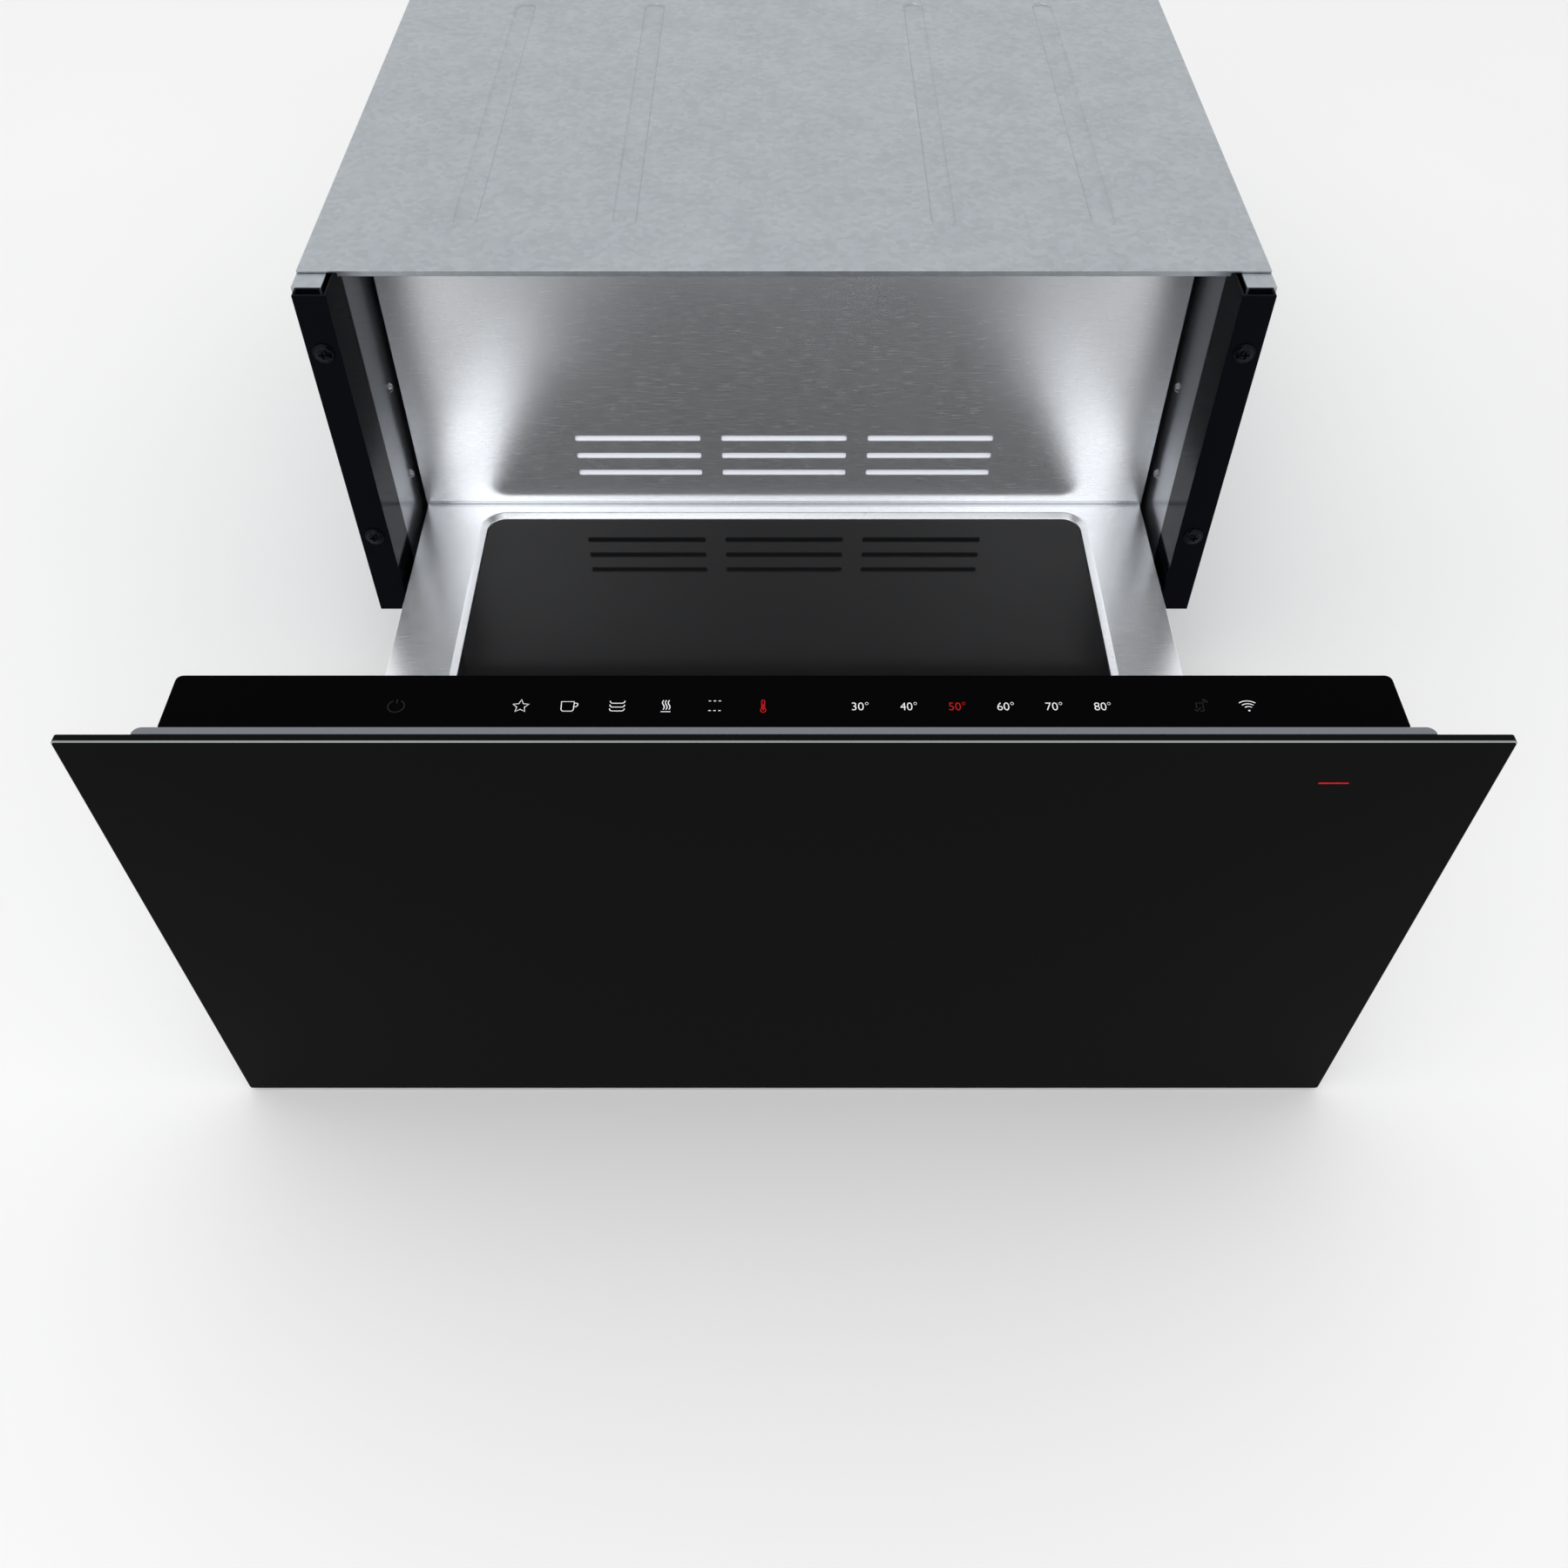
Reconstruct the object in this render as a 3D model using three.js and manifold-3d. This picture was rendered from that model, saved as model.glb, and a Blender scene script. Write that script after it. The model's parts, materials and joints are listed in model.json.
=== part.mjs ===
// Built-in warming drawer for a 60 cm wide, 29 cm high niche, with a glass front and no handle.
//
// Millimetres. +X points to the right as seen from the front, +Y into the cabinet and +Z up. The
// origin is the middle of the housing's underside. Everything that slides is drawn as it lies when
// the drawer is shut, and its group is then moved out by its share of REST_OPENING. A depth "behind
// the face" is counted from the front of the glass panel.

import * as THREE from 'three';
import { mergeVertices } from 'three/addons/utils/BufferGeometryUtils.js';
import Module from 'manifold-3d';

const wasm = await Module();
wasm.setup();

// ---- Driving dimensions ------------------------------------------------------------------------

const FIT = 0.3;                  // gap left between two pieces that seat on each other
const REST_OPENING = 319.7;       // how far the drawer stands open at rest

// Housing
const HOUSING_WIDTH = 558;
const HOUSING_DEPTH = 526;        // front frame's face to rear panel
const HOUSING_HEIGHT = 286;
const STEEL = 1.2;                // galvanised sheet of the housing
const LINER = 1;                  // stainless sheet of the cavity and the drawer
const FLANGE = 17;                // folded edges of the housing's sheets
const SIDE_CAVITY = 21;           // outside of the housing to the cavity wall's face
const TUB_INSET = 2.8;            // cavity wall's face to the outside of the narrow lower tub
const TUB_WALL_HEIGHT = 50.5;
const TUB_SETBACK = 10.5;         // tub's front edge behind the frame's face

// Front frame: two folded uprights with two screws each
const FRAME_SHEET = 1.5;
const FRAME_INSET = 2.2;          // upright's outer edge inside the housing's width
const FRAME_LIP = 0.6;            // upright's inner face in front of the cavity wall's face
const FRAME_RETURN = 36;          // depth of the return that runs into the cavity
const SIDE_SETBACK = 9;           // side panels behind the frame's face
const FRAME_FOOT = 47.8;          // lower end of the uprights and side panels
const SCREW_FROM_FOOT = 64.2;      // lower screw above the upright's foot
const SCREW_FROM_TOP = 36.5;       // upper screw below the upright's top
const SCREW_RADIUS = 2;
const SCREW_HEAD_RADIUS = 4.6;
const SCREW_COLLAR_RADIUS = 6.4;
const SCREW_HEAD_HEIGHT = 2.6;
const SCREW_LENGTH = 13;
const SCREW_HOLE_RADIUS = 2.5;

// Front of the drawer
const FRONT_OVERLAP = 18;         // glass beyond the housing's width, each side
const FRONT_STANDOFF = 22;        // glass face in front of the frame's face when shut
const FRONT_RISE = 3;             // glass above the housing's top
const FRONT_FOOT = 2;             // glass bottom above the underside
const GLASS = 4;
const GLASS_CHAMFER = 0.8;
const GLASS_CORNER = 2;
const CARRIER_INSET = 31.7;       // glass edge to carrier edge, each side
const CARRIER_DEPTH = 3.8;
const CARRIER_CORNER = 3.6;
const CARRIER_FOOT = 8;
const FRONT_DEPTH = 37.9;         // rear face of the inner panel behind the face

// Control strip on the front's top
const STRIP_GAP = 1.8;            // strip's end to the upright it passes
const STRIP_GLASS = 3;
const STRIP_HEIGHT = 24;          // plastic trough under the strip's glass
const STRIP_CORNER = 3;
const TROUGH_WALL = 1.8;
const BOARD = 1.6;
const BOARD_DEPTH_BELOW = 7;      // board under the strip's glass
const KEY_PITCH = 20;
const KEY_PLACES = [
  -8, -5.43, -4.43, -3.43, -2.43, -1.43, -0.43, 1.57, 2.57, 3.57, 4.57, 5.57, 6.57, 8.57, 9.57];
const KEY_RADIUS = 4;
const KEY_BEHIND_FACE = 19.6;
const BOARD_END_GAP = 8;          // board's end to the strip's end
const BOARD_FRONT = 8;            // board's edges from the line of keys
const BOARD_BACK = 12;
const LIGHT_LENGTH = 13.4;        // status light on the front
const LIGHT_HEIGHT = 1;
const LIGHT_FROM_TOP = 25.8;
const LIGHT_FROM_SIDE = 67.5;

// Drawer tray
const FLOOR_HEIGHT = 73.3;        // steel floor above the housing's underside
const REAR_ROOM = 124.3;          // shut rear wall's face to the housing's back
const REAR_WALL_GAP = 4.6;        // rear wall to cavity wall
const REAR_WALL_TOP_GAP = 8.3;    // rear wall under the cavity's ceiling
const REAR_WALL_FOLD = 12;
const FLOOR_INSET = 0.8;          // floor edge inside the rear wall's edge
const FLOOR_SKIRT = 11;
const FLOOR_BORDER = 40.8;        // floor edge to the recess, each side
const RECESS_FRONT = 22;          // inner panel to recess
const RECESS_BACK = 9.5;          // rear wall to recess
const RECESS_BEVEL = 4.3;
const RECESS_DEPTH = 2.7;
const PLATE = 4.3;                // glass heating plate
const PLATE_CORNER = 12;
const PLATE_LEDGE = 9;
const ELEMENT_BAND = 14;
const ELEMENT_THICKNESS = 3;
const ELEMENT_PASSES = 9;
const ELEMENT_MARGIN = 18;
const PAN_FOOT = 12;              // tray pan's underside
const INSULATION_TOP = 61;
const BRACKET = 2;
const BRACKET_LEG = 60;
const BRACKET_FLANGE = 24;
const BRACKET_HEIGHT = 44;

// Air slots, the same in the drawer's rear wall and in the air guide behind it
const SLOT_LENGTH = 85.4;
const SLOT_HEIGHT = 4.5;
const SLOT_PITCH_X = 99.7;
const SLOT_PITCH_Z = 14.2;
const SLOT_LOWEST = 27.4;         // lowest row's middle above the floor
const SLOT_CORNER = 1.3;
const SLOT_LIP = 3;               // slanted lip behind the lower edge of each rear wall slot

// Telescopic ball runners
const RAIL_FOOT = 8;
const RAIL_HEIGHT = 38;
const RAIL_SHEET = 1.2;
const RAIL_FRONT_GAP = 18.2;      // rail's front end behind the frame's face
const RAIL_BACK_GAP = 5.5;        // rail's back end in front of the shut rear wall
const RAIL_END_STOP = 6;          // length that the travel stays short of the rail's length
const OUTER_BALL = 3;
const INNER_BALL = 2.8;
const CAGE_SHEET = 0.6;
const CAGE_BALLS = 3;             // balls in each of a cage's two rows

// Warm air unit behind the air guide
const GUIDE_GAP = 17.3;           // shut rear wall's face to the air guide
const FAN_EYE_SHARE = 0.586;      // fan's eye as a share of its radius
const GRILLE_GAP = 26.9;          // middle of the top row of slots to the intake grille
const FAN_WIDTH = 26;
const FAN_BLADES = 20;
const FAN_FRONT_GAP = 8;
const SHAFT_RADIUS = 3;
const SHAFT_CLEARANCE = 0.3;
const SHROUD_HEADROOM = 11.3;     // shroud's top below the cavity's ceiling
const SHROUD_ABOVE_FAN = 22;      // shroud's top and bottom beyond the fan's edge
const SHROUD_BELOW_FAN = 46;
const SHROUD_SIDE_GAP = 11;       // shroud's flange to the power module
const SHROUD_FLANGE = 10;
const SHROUD_DEPTH = 38;
const SHROUD_CORNER = 24;
const HEATER_GAP = 13;            // fan's edge to the middle of the heater's tube
const HEATER_TUBE_RADIUS = 3.2;
const HEATER_LEG_SPREAD = 12;
const HEATER_LEG = 20;            // leg behind the shroud
const MOTOR_RADIUS = 32;
const MOTOR_LENGTH = 40;

// Push latches behind the tray
const LATCH_FROM_SIDE = 55.2;     // latch's middle to the outside of the tub
const LATCH_WIDTH = 20;
const LATCH_LENGTH = 38;
const LATCH_TOP = 40;
const PLUNGER_HEIGHT = 30;
const PLUNGER_RADIUS = 4;
const PLUNGER_TIP_RADIUS = 6;
const PLUNGER_TIP = 2.5;
const PLUNGER_STROKE = 5;
const PLUNGER_GAP = 0.4;          // tip to the shut rear wall

// Rear of the housing
const INLET_FROM_SIDE = 55.2;     // inlet's middle to the outside of the tub
const INLET_Z = 28;
const INLET_HOLE = 10;
const INLET_BORE = 4.5;
const VENT_SPREAD = 130;
const VENT_ROWS = 6;
const VENT_LOWEST = 110;
const VENT_PITCH = 14;
const VENT_LENGTH = 80;
const VENT_HEIGHT = 5;
const GRILLE_SLOTS = 10;          // intake in front of the fan's eye
const GRILLE_INNER_RADIUS = 14;
const SENSOR_GAP = 25;            // sensor to the shroud's flange
const SENSOR_Z = 150;
const SENSOR_RADIUS = 3;
const MODULE_FROM_SIDE = 55;      // module's middle to the housing's side
const MODULE_WIDTH = 76;
const MODULE_HEIGHT = 140;
const MODULE_BOTTOM = 100;
const MODULE_DEPTH = 42;
const NUB_HEIGHTS = [31, 100];    // guide nubs above the drawer's floor
const NUB_FROM_FRONT = 39.7;      // and behind the cavity wall's front edge
const NUB_RADIUS = 4;
const NUB_HEIGHT = 2;

// ---- Sizes that follow ---------------------------------------------------------------------------

const HALF_HOUSING = HOUSING_WIDTH / 2;
const CAVITY = HALF_HOUSING - SIDE_CAVITY;                    // half widths from here on
const FRAME_INNER = CAVITY - FRAME_LIP;
const FRAME_OUTER = HALF_HOUSING - FRAME_INSET;
const TUB = CAVITY - TUB_INSET;
const TUB_INNER = TUB - STEEL;
const REAR_WALL = CAVITY - REAR_WALL_GAP;
const FLOOR = REAR_WALL - FLOOR_INSET;
const STRIP = FRAME_INNER - STRIP_GAP;
const FRONT = HALF_HOUSING + FRONT_OVERLAP;
const CARRIER = FRONT - CARRIER_INSET;
const SCREW_X = (FRAME_INNER + FRAME_OUTER) / 2;
const LATCH_SPREAD = TUB - LATCH_FROM_SIDE;
const INLET_X = -TUB + INLET_FROM_SIDE;
const MODULE_X = HALF_HOUSING - MODULE_FROM_SIDE;
const SHROUD_WIDTH = 2 * (MODULE_X - MODULE_WIDTH / 2 - SHROUD_SIDE_GAP - SHROUD_FLANGE);
const SENSOR_X = -SHROUD_WIDTH / 2 - SHROUD_FLANGE - SENSOR_GAP;

const FRAME_Y = -HOUSING_DEPTH / 2;
const BACK_Y = HOUSING_DEPTH / 2;
const BACK_INNER_Y = BACK_Y - STEEL - FIT;
const FACE_Y = FRAME_Y - FRONT_STANDOFF;                      // face of the shut drawer
const REAR_WALL_Y = BACK_Y - REAR_ROOM;
const GUIDE_Y = REAR_WALL_Y + GUIDE_GAP;
const LINER_FRONT_Y = FRAME_Y + FRAME_RETURN + FIT;
const INNER_FACE_Y = FACE_Y + FRONT_DEPTH;

const LEDGE_TOP = TUB_WALL_HEIGHT;
const LEDGE_BOTTOM = LEDGE_TOP - STEEL;
const COVER_BOTTOM = HOUSING_HEIGHT - STEEL;
const SIDE_TOP = COVER_BOTTOM - FIT;
const CEILING_BOTTOM = SIDE_TOP - STEEL - 2 * LINER;
const SHROUD_TOP = CEILING_BOTTOM - SHROUD_HEADROOM;
const TOP_ROW = FLOOR_HEIGHT + SLOT_LOWEST + 2 * SLOT_PITCH_Z;
const FAN_RADIUS = (SHROUD_TOP - SHROUD_ABOVE_FAN - TOP_ROW - GRILLE_GAP) / (1 + FAN_EYE_SHARE);
const FAN_EYE_RADIUS = FAN_RADIUS * FAN_EYE_SHARE;
const FAN_HEIGHT = SHROUD_TOP - SHROUD_ABOVE_FAN - FAN_RADIUS;
const SHROUD_BOTTOM = FAN_HEIGHT - FAN_RADIUS - SHROUD_BELOW_FAN;
const HEATER_RADIUS = FAN_RADIUS + HEATER_GAP;
const SCREW_HEIGHTS = [FRAME_FOOT + SCREW_FROM_FOOT, SIDE_TOP - SCREW_FROM_TOP];
const FRONT_TOP = HOUSING_HEIGHT + FRONT_RISE;
const TROUGH_TOP = FRONT_TOP - STRIP_GLASS - FIT;
const TROUGH_BOTTOM = TROUGH_TOP - STRIP_HEIGHT;
const PANEL_TOP = TROUGH_BOTTOM - FIT;

const PLATE_TOP = FLOOR_HEIGHT - RECESS_DEPTH;
const PLATE_BOTTOM = PLATE_TOP - PLATE;
const PLATE_X = FLOOR - FLOOR_BORDER - RECESS_BEVEL;
const PLATE_FRONT_Y = INNER_FACE_Y + RECESS_FRONT + RECESS_BEVEL;
const PLATE_BACK_Y = REAR_WALL_Y - RECESS_BACK - RECESS_BEVEL;
const FLOOR_FRONT_Y = INNER_FACE_Y + FIT;
const FLOOR_BACK_Y = REAR_WALL_Y - FIT;

const RAIL_SECTION = {                                        // across, from the tub's wall inwards
  outerWeb: 0,
  outerLip: 9.6,
  middleWeb: RAIL_SHEET + CAGE_SHEET + 2 * FIT,
  middleLip: 10.6,
  innerLip: 2 * RAIL_SHEET + 2 * CAGE_SHEET + 4 * FIT,
  innerWeb: 12.2,
};
const RAIL_X = TUB_INNER - FIT;
const PAN = RAIL_X - RAIL_SECTION.innerWeb - FIT;
const PAN_TOP = FLOOR_HEIGHT - LINER - FIT;
const RAIL_MIDDLE_Z = RAIL_FOOT + RAIL_HEIGHT / 2;
const RAIL_FRONT_Y = FRAME_Y + RAIL_FRONT_GAP;
const RAIL_BACK_Y = REAR_WALL_Y - RAIL_BACK_GAP;
const RAIL_LENGTH = RAIL_BACK_Y - RAIL_FRONT_Y;
const FULL_TRAVEL = RAIL_LENGTH - RAIL_END_STOP;
const OUTER_RACE = RAIL_HEIGHT / 2 - RAIL_SHEET;              // heights above the rail's middle
const MIDDLE_TOP = OUTER_RACE - OUTER_BALL - 2 * FIT;
const INNER_RACE = MIDDLE_TOP - RAIL_SHEET;
const INNER_TOP = INNER_RACE - INNER_BALL - 2 * FIT;

const SHROUD_BACK_Y = GUIDE_Y + LINER + FIT + SHROUD_DEPTH;
const FAN_FRONT_Y = GUIDE_Y + LINER + FAN_FRONT_GAP;
const FAN_BACK_Y = FAN_FRONT_Y + FAN_WIDTH;
const PLUNGER_TIP_Y = REAR_WALL_Y + LINER + PLUNGER_GAP;
const LATCH_FRONT_Y = PLUNGER_TIP_Y + PLUNGER_TIP + PLUNGER_STROKE + 1;

// ---- Materials ------------------------------------------------------------------------------------

const finish = (color, roughness, metalness) => (
  new THREE.MeshStandardMaterial({ color, roughness, metalness }));
const GALVANISED = finish(0xb4b9bd, 0.45, 0.9);
const STAINLESS = finish(0xc3c7ca, 0.32, 1);
const POLISHED = finish(0xc9ccd0, 0.12, 1);
const BLACK_PAINT = finish(0x0e0f14, 0.45, 0);
const GREY_PAINT = finish(0x6b6e75, 0.5, 0.3);
const BLACK_GLASS = finish(0x060607, 0.05, 0);
const PLATE_GLASS = finish(0x2b2b2b, 0.35, 0);
const BLACK_PLASTIC = finish(0x17181a, 0.55, 0);
const PALE_PLASTIC = finish(0xd8dadb, 0.5, 0);
const RED_LENS = finish(0xb5121b, 0.3, 0);
const BOARD_GREEN = finish(0x1f5b3a, 0.5, 0);
const MINERAL_WOOL = finish(0xc9bf95, 0.95, 0);
const ELEMENT_STEEL = finish(0x6a5f58, 0.4, 0.8);
const SCREW_STEEL = finish(0x1b1c20, 0.35, 0.8);
const BEARING_STEEL = finish(0xd4d6d8, 0.2, 1);

const SIDES = [['left', -1], ['right', 1]];

// ---- Making and combining shapes --------------------------------------------------------------------

// A closed three.js geometry as a solid that can be cut and joined. Triangles that have shrunk to a
// line on a turned piece's axis are dropped, and a shape drawn inside out is turned round.
function solid(geometry) {
  const bare = geometry.clone();
  bare.deleteAttribute('normal');
  bare.deleteAttribute('uv');
  const welded = mergeVertices(bare, 1e-4);
  const at = welded.attributes.position;
  const corner = (i) => new THREE.Vector3().fromBufferAttribute(at, i);
  const triangles = [];
  let volume = 0;
  for (let i = 0; i < welded.index.count; i += 3) {
    const [a, b, c] = [0, 1, 2].map((j) => welded.index.getX(i + j));
    if (a !== b && b !== c && c !== a) {
      triangles.push([a, b, c]);
      volume += corner(a).dot(corner(b).cross(corner(c)));
    }
  }
  const outward = volume > 0 ? triangles : triangles.map(([a, b, c]) => [a, c, b]);
  return new wasm.Manifold(new wasm.Mesh({
    numProp: 3,
    vertProperties: new Float32Array(at.array),
    triVerts: new Uint32Array(outward.flat()),
  }));
}

const join = (...solids) => solids.flat().reduce((whole, next) => whole.add(next));
const cut = (body, ...tools) => tools.flat().reduce((rest, tool) => rest.subtract(tool), body);

// A block between two values of each coordinate, given in either order.
function block([x0, x1], [y0, y1], [z0, z1]) {
  const geometry = new THREE.BoxGeometry(Math.abs(x1 - x0), Math.abs(y1 - y0), Math.abs(z1 - z0));
  geometry.translate((x0 + x1) / 2, (y0 + y1) / 2, (z0 + z1) / 2);
  return solid(geometry);
}

// An outline drawn in the plane across one axis, extruded along that axis. The outline's own two
// axes are Y and Z across X, X and Z across Y, and X and Y across Z.
function prism(outline, axis, from, to, curveSegments = 3) {
  const depth = Math.abs(to - from);
  const low = Math.min(from, to);
  const geometry = new THREE.ExtrudeGeometry(outline, { depth, bevelEnabled: false, curveSegments });
  if (axis === 'x') {
    geometry.applyMatrix4(new THREE.Matrix4().makeBasis(
      new THREE.Vector3(0, 1, 0), new THREE.Vector3(0, 0, 1), new THREE.Vector3(1, 0, 0)));
    geometry.translate(low, 0, 0);
  } else if (axis === 'y') {
    geometry.rotateX(Math.PI / 2);
    geometry.translate(0, low + depth, 0);
  } else {
    geometry.translate(0, 0, low);
  }
  return solid(geometry);
}

const polygon = (points) => new THREE.Shape(points.map(([a, b]) => new THREE.Vector2(a, b)));

// A rectangle between two corners, with rounded corners.
function rectangle([a0, a1], [b0, b1], radius = 0) {
  const [left, right] = [Math.min(a0, a1), Math.max(a0, a1)];
  const [low, high] = [Math.min(b0, b1), Math.max(b0, b1)];
  const r = Math.min(radius, (right - left) / 2 - 0.01, (high - low) / 2 - 0.01);
  if (r <= 0) {
    return polygon([[left, low], [right, low], [right, high], [left, high]]);
  }
  const shape = new THREE.Shape();
  shape.absarc(right - r, low + r, r, -Math.PI / 2, 0);
  shape.absarc(right - r, high - r, r, 0, Math.PI / 2);
  shape.absarc(left + r, high - r, r, Math.PI / 2, Math.PI);
  shape.absarc(left + r, low + r, r, Math.PI, Math.PI * 1.5);
  return shape;
}

// The line that runs beside a bent line at a fixed distance on its left, with mitred corners.
function beside(points, distance) {
  const corners = points.map(([a, b]) => new THREE.Vector2(a, b));
  const normals = corners.slice(1).map((corner, i) => {
    const along = corner.clone().sub(corners[i]).normalize();
    return new THREE.Vector2(-along.y, along.x);
  });
  return corners.map((corner, i) => {
    const before = normals[Math.max(i - 1, 0)];
    const after = normals[Math.min(i, normals.length - 1)];
    const mitre = before.clone().add(after);
    mitre.multiplyScalar(distance * 2 / mitre.lengthSq());
    return [corner.x + mitre.x, corner.y + mitre.y];
  });
}

// A bent sheet's section: its outer line, and its thickness to the left of that line.
const folded = (points, thickness) => polygon([...points, ...beside(points, thickness).reverse()]);

// A round piece whose profile gives radius and place along +Z, moved to a point and turned to +Y
// where it is asked for.
function round(profile, segments, at, alongY = false) {
  const points = profile.map(([radius, place]) => new THREE.Vector2(radius, place));
  const geometry = new THREE.LatheGeometry(points, segments);
  if (!alongY) {
    geometry.rotateX(Math.PI / 2);
  }
  geometry.translate(...at);
  return solid(geometry);
}

// What a round hole along Y takes away, a little way either side of a point.
const roundHole = (radius, segments, at) => round(
  [[0, -3], [radius, -3], [radius, 3], [0, 3]], segments, at, true);

// A closed section carried round a rounded rectangle: each of its points is an outward offset from
// the rectangle and a height.
function rim([x0, x1], [y0, y1], radius, section, cornerSteps = 6) {
  const centres = [
    [x1 - radius, y0 + radius], [x1 - radius, y1 - radius], [x0 + radius, y1 - radius],
    [x0 + radius, y0 + radius]];
  const stations = centres.flatMap(([x, y], corner) => Array.from({ length: cornerSteps + 1 }, (_, step) => {
    const angle = (corner - 1 + step / cornerSteps) * Math.PI / 2;
    return section.map(([offset, z]) => [
      x + (radius + offset) * Math.cos(angle), y + (radius + offset) * Math.sin(angle), z]);
  }));
  const count = section.length;
  const index = [];
  stations.forEach((_, i) => {
    const next = (i + 1) % stations.length;
    for (let j = 0; j < count; j += 1) {
      const k = (j + 1) % count;
      const [a, b, c, d] = [i * count + j, next * count + j, next * count + k, i * count + k];
      index.push(a, b, c, a, c, d);
    }
  });
  const geometry = new THREE.BufferGeometry();
  geometry.setAttribute('position', new THREE.Float32BufferAttribute(stations.flat(2), 3));
  geometry.setIndex(index);
  return solid(geometry);
}

// Outlines with the same number of points, one over another along an axis, closed at both ends.
function stack(layers, axis) {
  const count = layers[0].points.length;
  const place = { z: (a, b, c) => [a, b, c], y: (a, b, c) => [a, -c, b] }[axis];
  const positions = layers.flatMap(
    ({ points, at }) => points.flatMap(([a, b]) => place(a, b, axis === 'y' ? -at : at)));
  const index = [];
  for (let layer = 0; layer + 1 < layers.length; layer += 1) {
    for (let j = 0; j < count; j += 1) {
      const k = (j + 1) % count;
      const [a, b, c, d] = [
        layer * count + j, layer * count + k, (layer + 1) * count + k, (layer + 1) * count + j];
      index.push(a, b, c, a, c, d);
    }
  }
  for (let j = 1; j + 1 < count; j += 1) {
    const top = (layers.length - 1) * count;
    index.push(0, j + 1, j, top, top + j, top + j + 1);
  }
  const geometry = new THREE.BufferGeometry();
  geometry.setAttribute('position', new THREE.Float32BufferAttribute(positions, 3));
  geometry.setIndex(index);
  return solid(geometry);
}

// The points of a rounded rectangle, counter-clockwise, for a stack.
function ring([a0, a1], [b0, b1], radius, cornerSteps = 4) {
  const centres = [
    [a1 - radius, b0 + radius], [a1 - radius, b1 - radius], [a0 + radius, b1 - radius],
    [a0 + radius, b0 + radius]];
  return centres.flatMap(([a, b], corner) => Array.from({ length: cornerSteps + 1 }, (_, step) => {
    const angle = (corner - 1 + step / cornerSteps) * Math.PI / 2;
    return [a + radius * Math.cos(angle), b + radius * Math.sin(angle)];
  }));
}

// A long bead pressed up or down into a level sheet: what it adds and what it takes away.
function bead(sheet, [x0, x1], [y0, y1], sheetBottom, thickness, rise) {
  const slope = Math.abs(rise);
  const flat = (grow) => ring(
    [x0 - grow, x1 + grow], [y0 - grow, y1 + grow], (Math.min(x1 - x0, y1 - y0) / 2 + grow) * 0.95, 2);
  const [low, high] = [sheetBottom, sheetBottom + thickness];
  const skin = thickness / 2;
  if (rise > 0) {
    const raised = stack(
      [{ points: flat(slope), at: high - 0.1 }, { points: flat(0), at: high + rise }], 'z');
    const hollow = stack(
      [{ points: flat(slope - skin), at: low - 0.1 }, { points: flat(-skin), at: low + rise }], 'z');
    return cut(join(sheet, raised), hollow);
  }
  const lowered = stack([{ points: flat(0), at: low + rise }, { points: flat(slope), at: low + 0.1 }], 'z');
  const hollow = stack(
    [{ points: flat(-skin), at: high + rise }, { points: flat(slope - skin), at: high + 0.1 }], 'z');
  return cut(join(sheet, lowered), hollow);
}

// ---- The assembly's groups ---------------------------------------------------------------------------

const drawerUnit = new THREE.Group();
drawerUnit.name = 'warming_drawer';

// A group that has slid out by its share of the resting opening.
function sliding(share) {
  const group = new THREE.Group();
  group.position.y = -share * REST_OPENING;
  drawerUnit.add(group);
  return group;
}

const housing = sliding(0);
const outerCages = sliding(0.25);
const middleRails = sliding(0.5);
const innerCages = sliding(0.75);
const drawer = sliding(1);

function piece(group, name, material, body) {
  const mesh = body.getMesh();
  const geometry = new THREE.BufferGeometry();
  geometry.setAttribute('position', new THREE.Float32BufferAttribute(mesh.vertProperties, 3));
  geometry.setIndex(Array.from(mesh.triVerts));
  geometry.computeVertexNormals();
  const part = new THREE.Mesh(geometry, material);
  part.name = name;
  group.add(part);
}

// ---- Housing -------------------------------------------------------------------------------------------

function basePan() {
  const section = [[-TUB, LEDGE_TOP], [-TUB, 0], [TUB, 0], [TUB, LEDGE_TOP]];
  const tub = prism(folded(section, STEEL), 'y', FRAME_Y + TUB_SETBACK, BACK_INNER_Y);
  const ledges = SIDES.map(([, side]) => block(
    [side * TUB_INNER, side * (HALF_HOUSING - STEEL - FIT)],
    [LINER_FRONT_Y, BACK_INNER_Y - STEEL - FIT], [LEDGE_BOTTOM, LEDGE_TOP]));
  let pan = join(tub, ledges);
  for (const x of [-0.6 * TUB, 0.6 * TUB]) {
    for (const [front, back] of [[-0.38, -0.12], [-0.06, 0.2]]) {
      pan = bead(pan, [x - 8, x + 8], [front * HOUSING_DEPTH, back * HOUSING_DEPTH], 0, STEEL, 2.5);
    }
  }
  return pan;
}

function sidePanel(side) {
  const outline = [
    [HALF_HOUSING - FLANGE, FRAME_FOOT], [HALF_HOUSING, FRAME_FOOT], [HALF_HOUSING, SIDE_TOP],
    [HALF_HOUSING - FLANGE, SIDE_TOP]];
  const turned = outline.map(([x, z]) => [side * x, z]);
  const [front, back] = [FRAME_Y + SIDE_SETBACK, BACK_INNER_Y];
  const wall = prism(folded(turned, side * STEEL), 'y', front, back);
  const flangeX = [side * (HALF_HOUSING - FLANGE), side * HALF_HOUSING];
  const ends = [[front, front + STEEL], [back - STEEL, back]].map(
    (y) => block(flangeX, y, [FRAME_FOOT, SIDE_TOP]));
  return cut(join(wall, ends), screwHoles(side));
}

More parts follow.
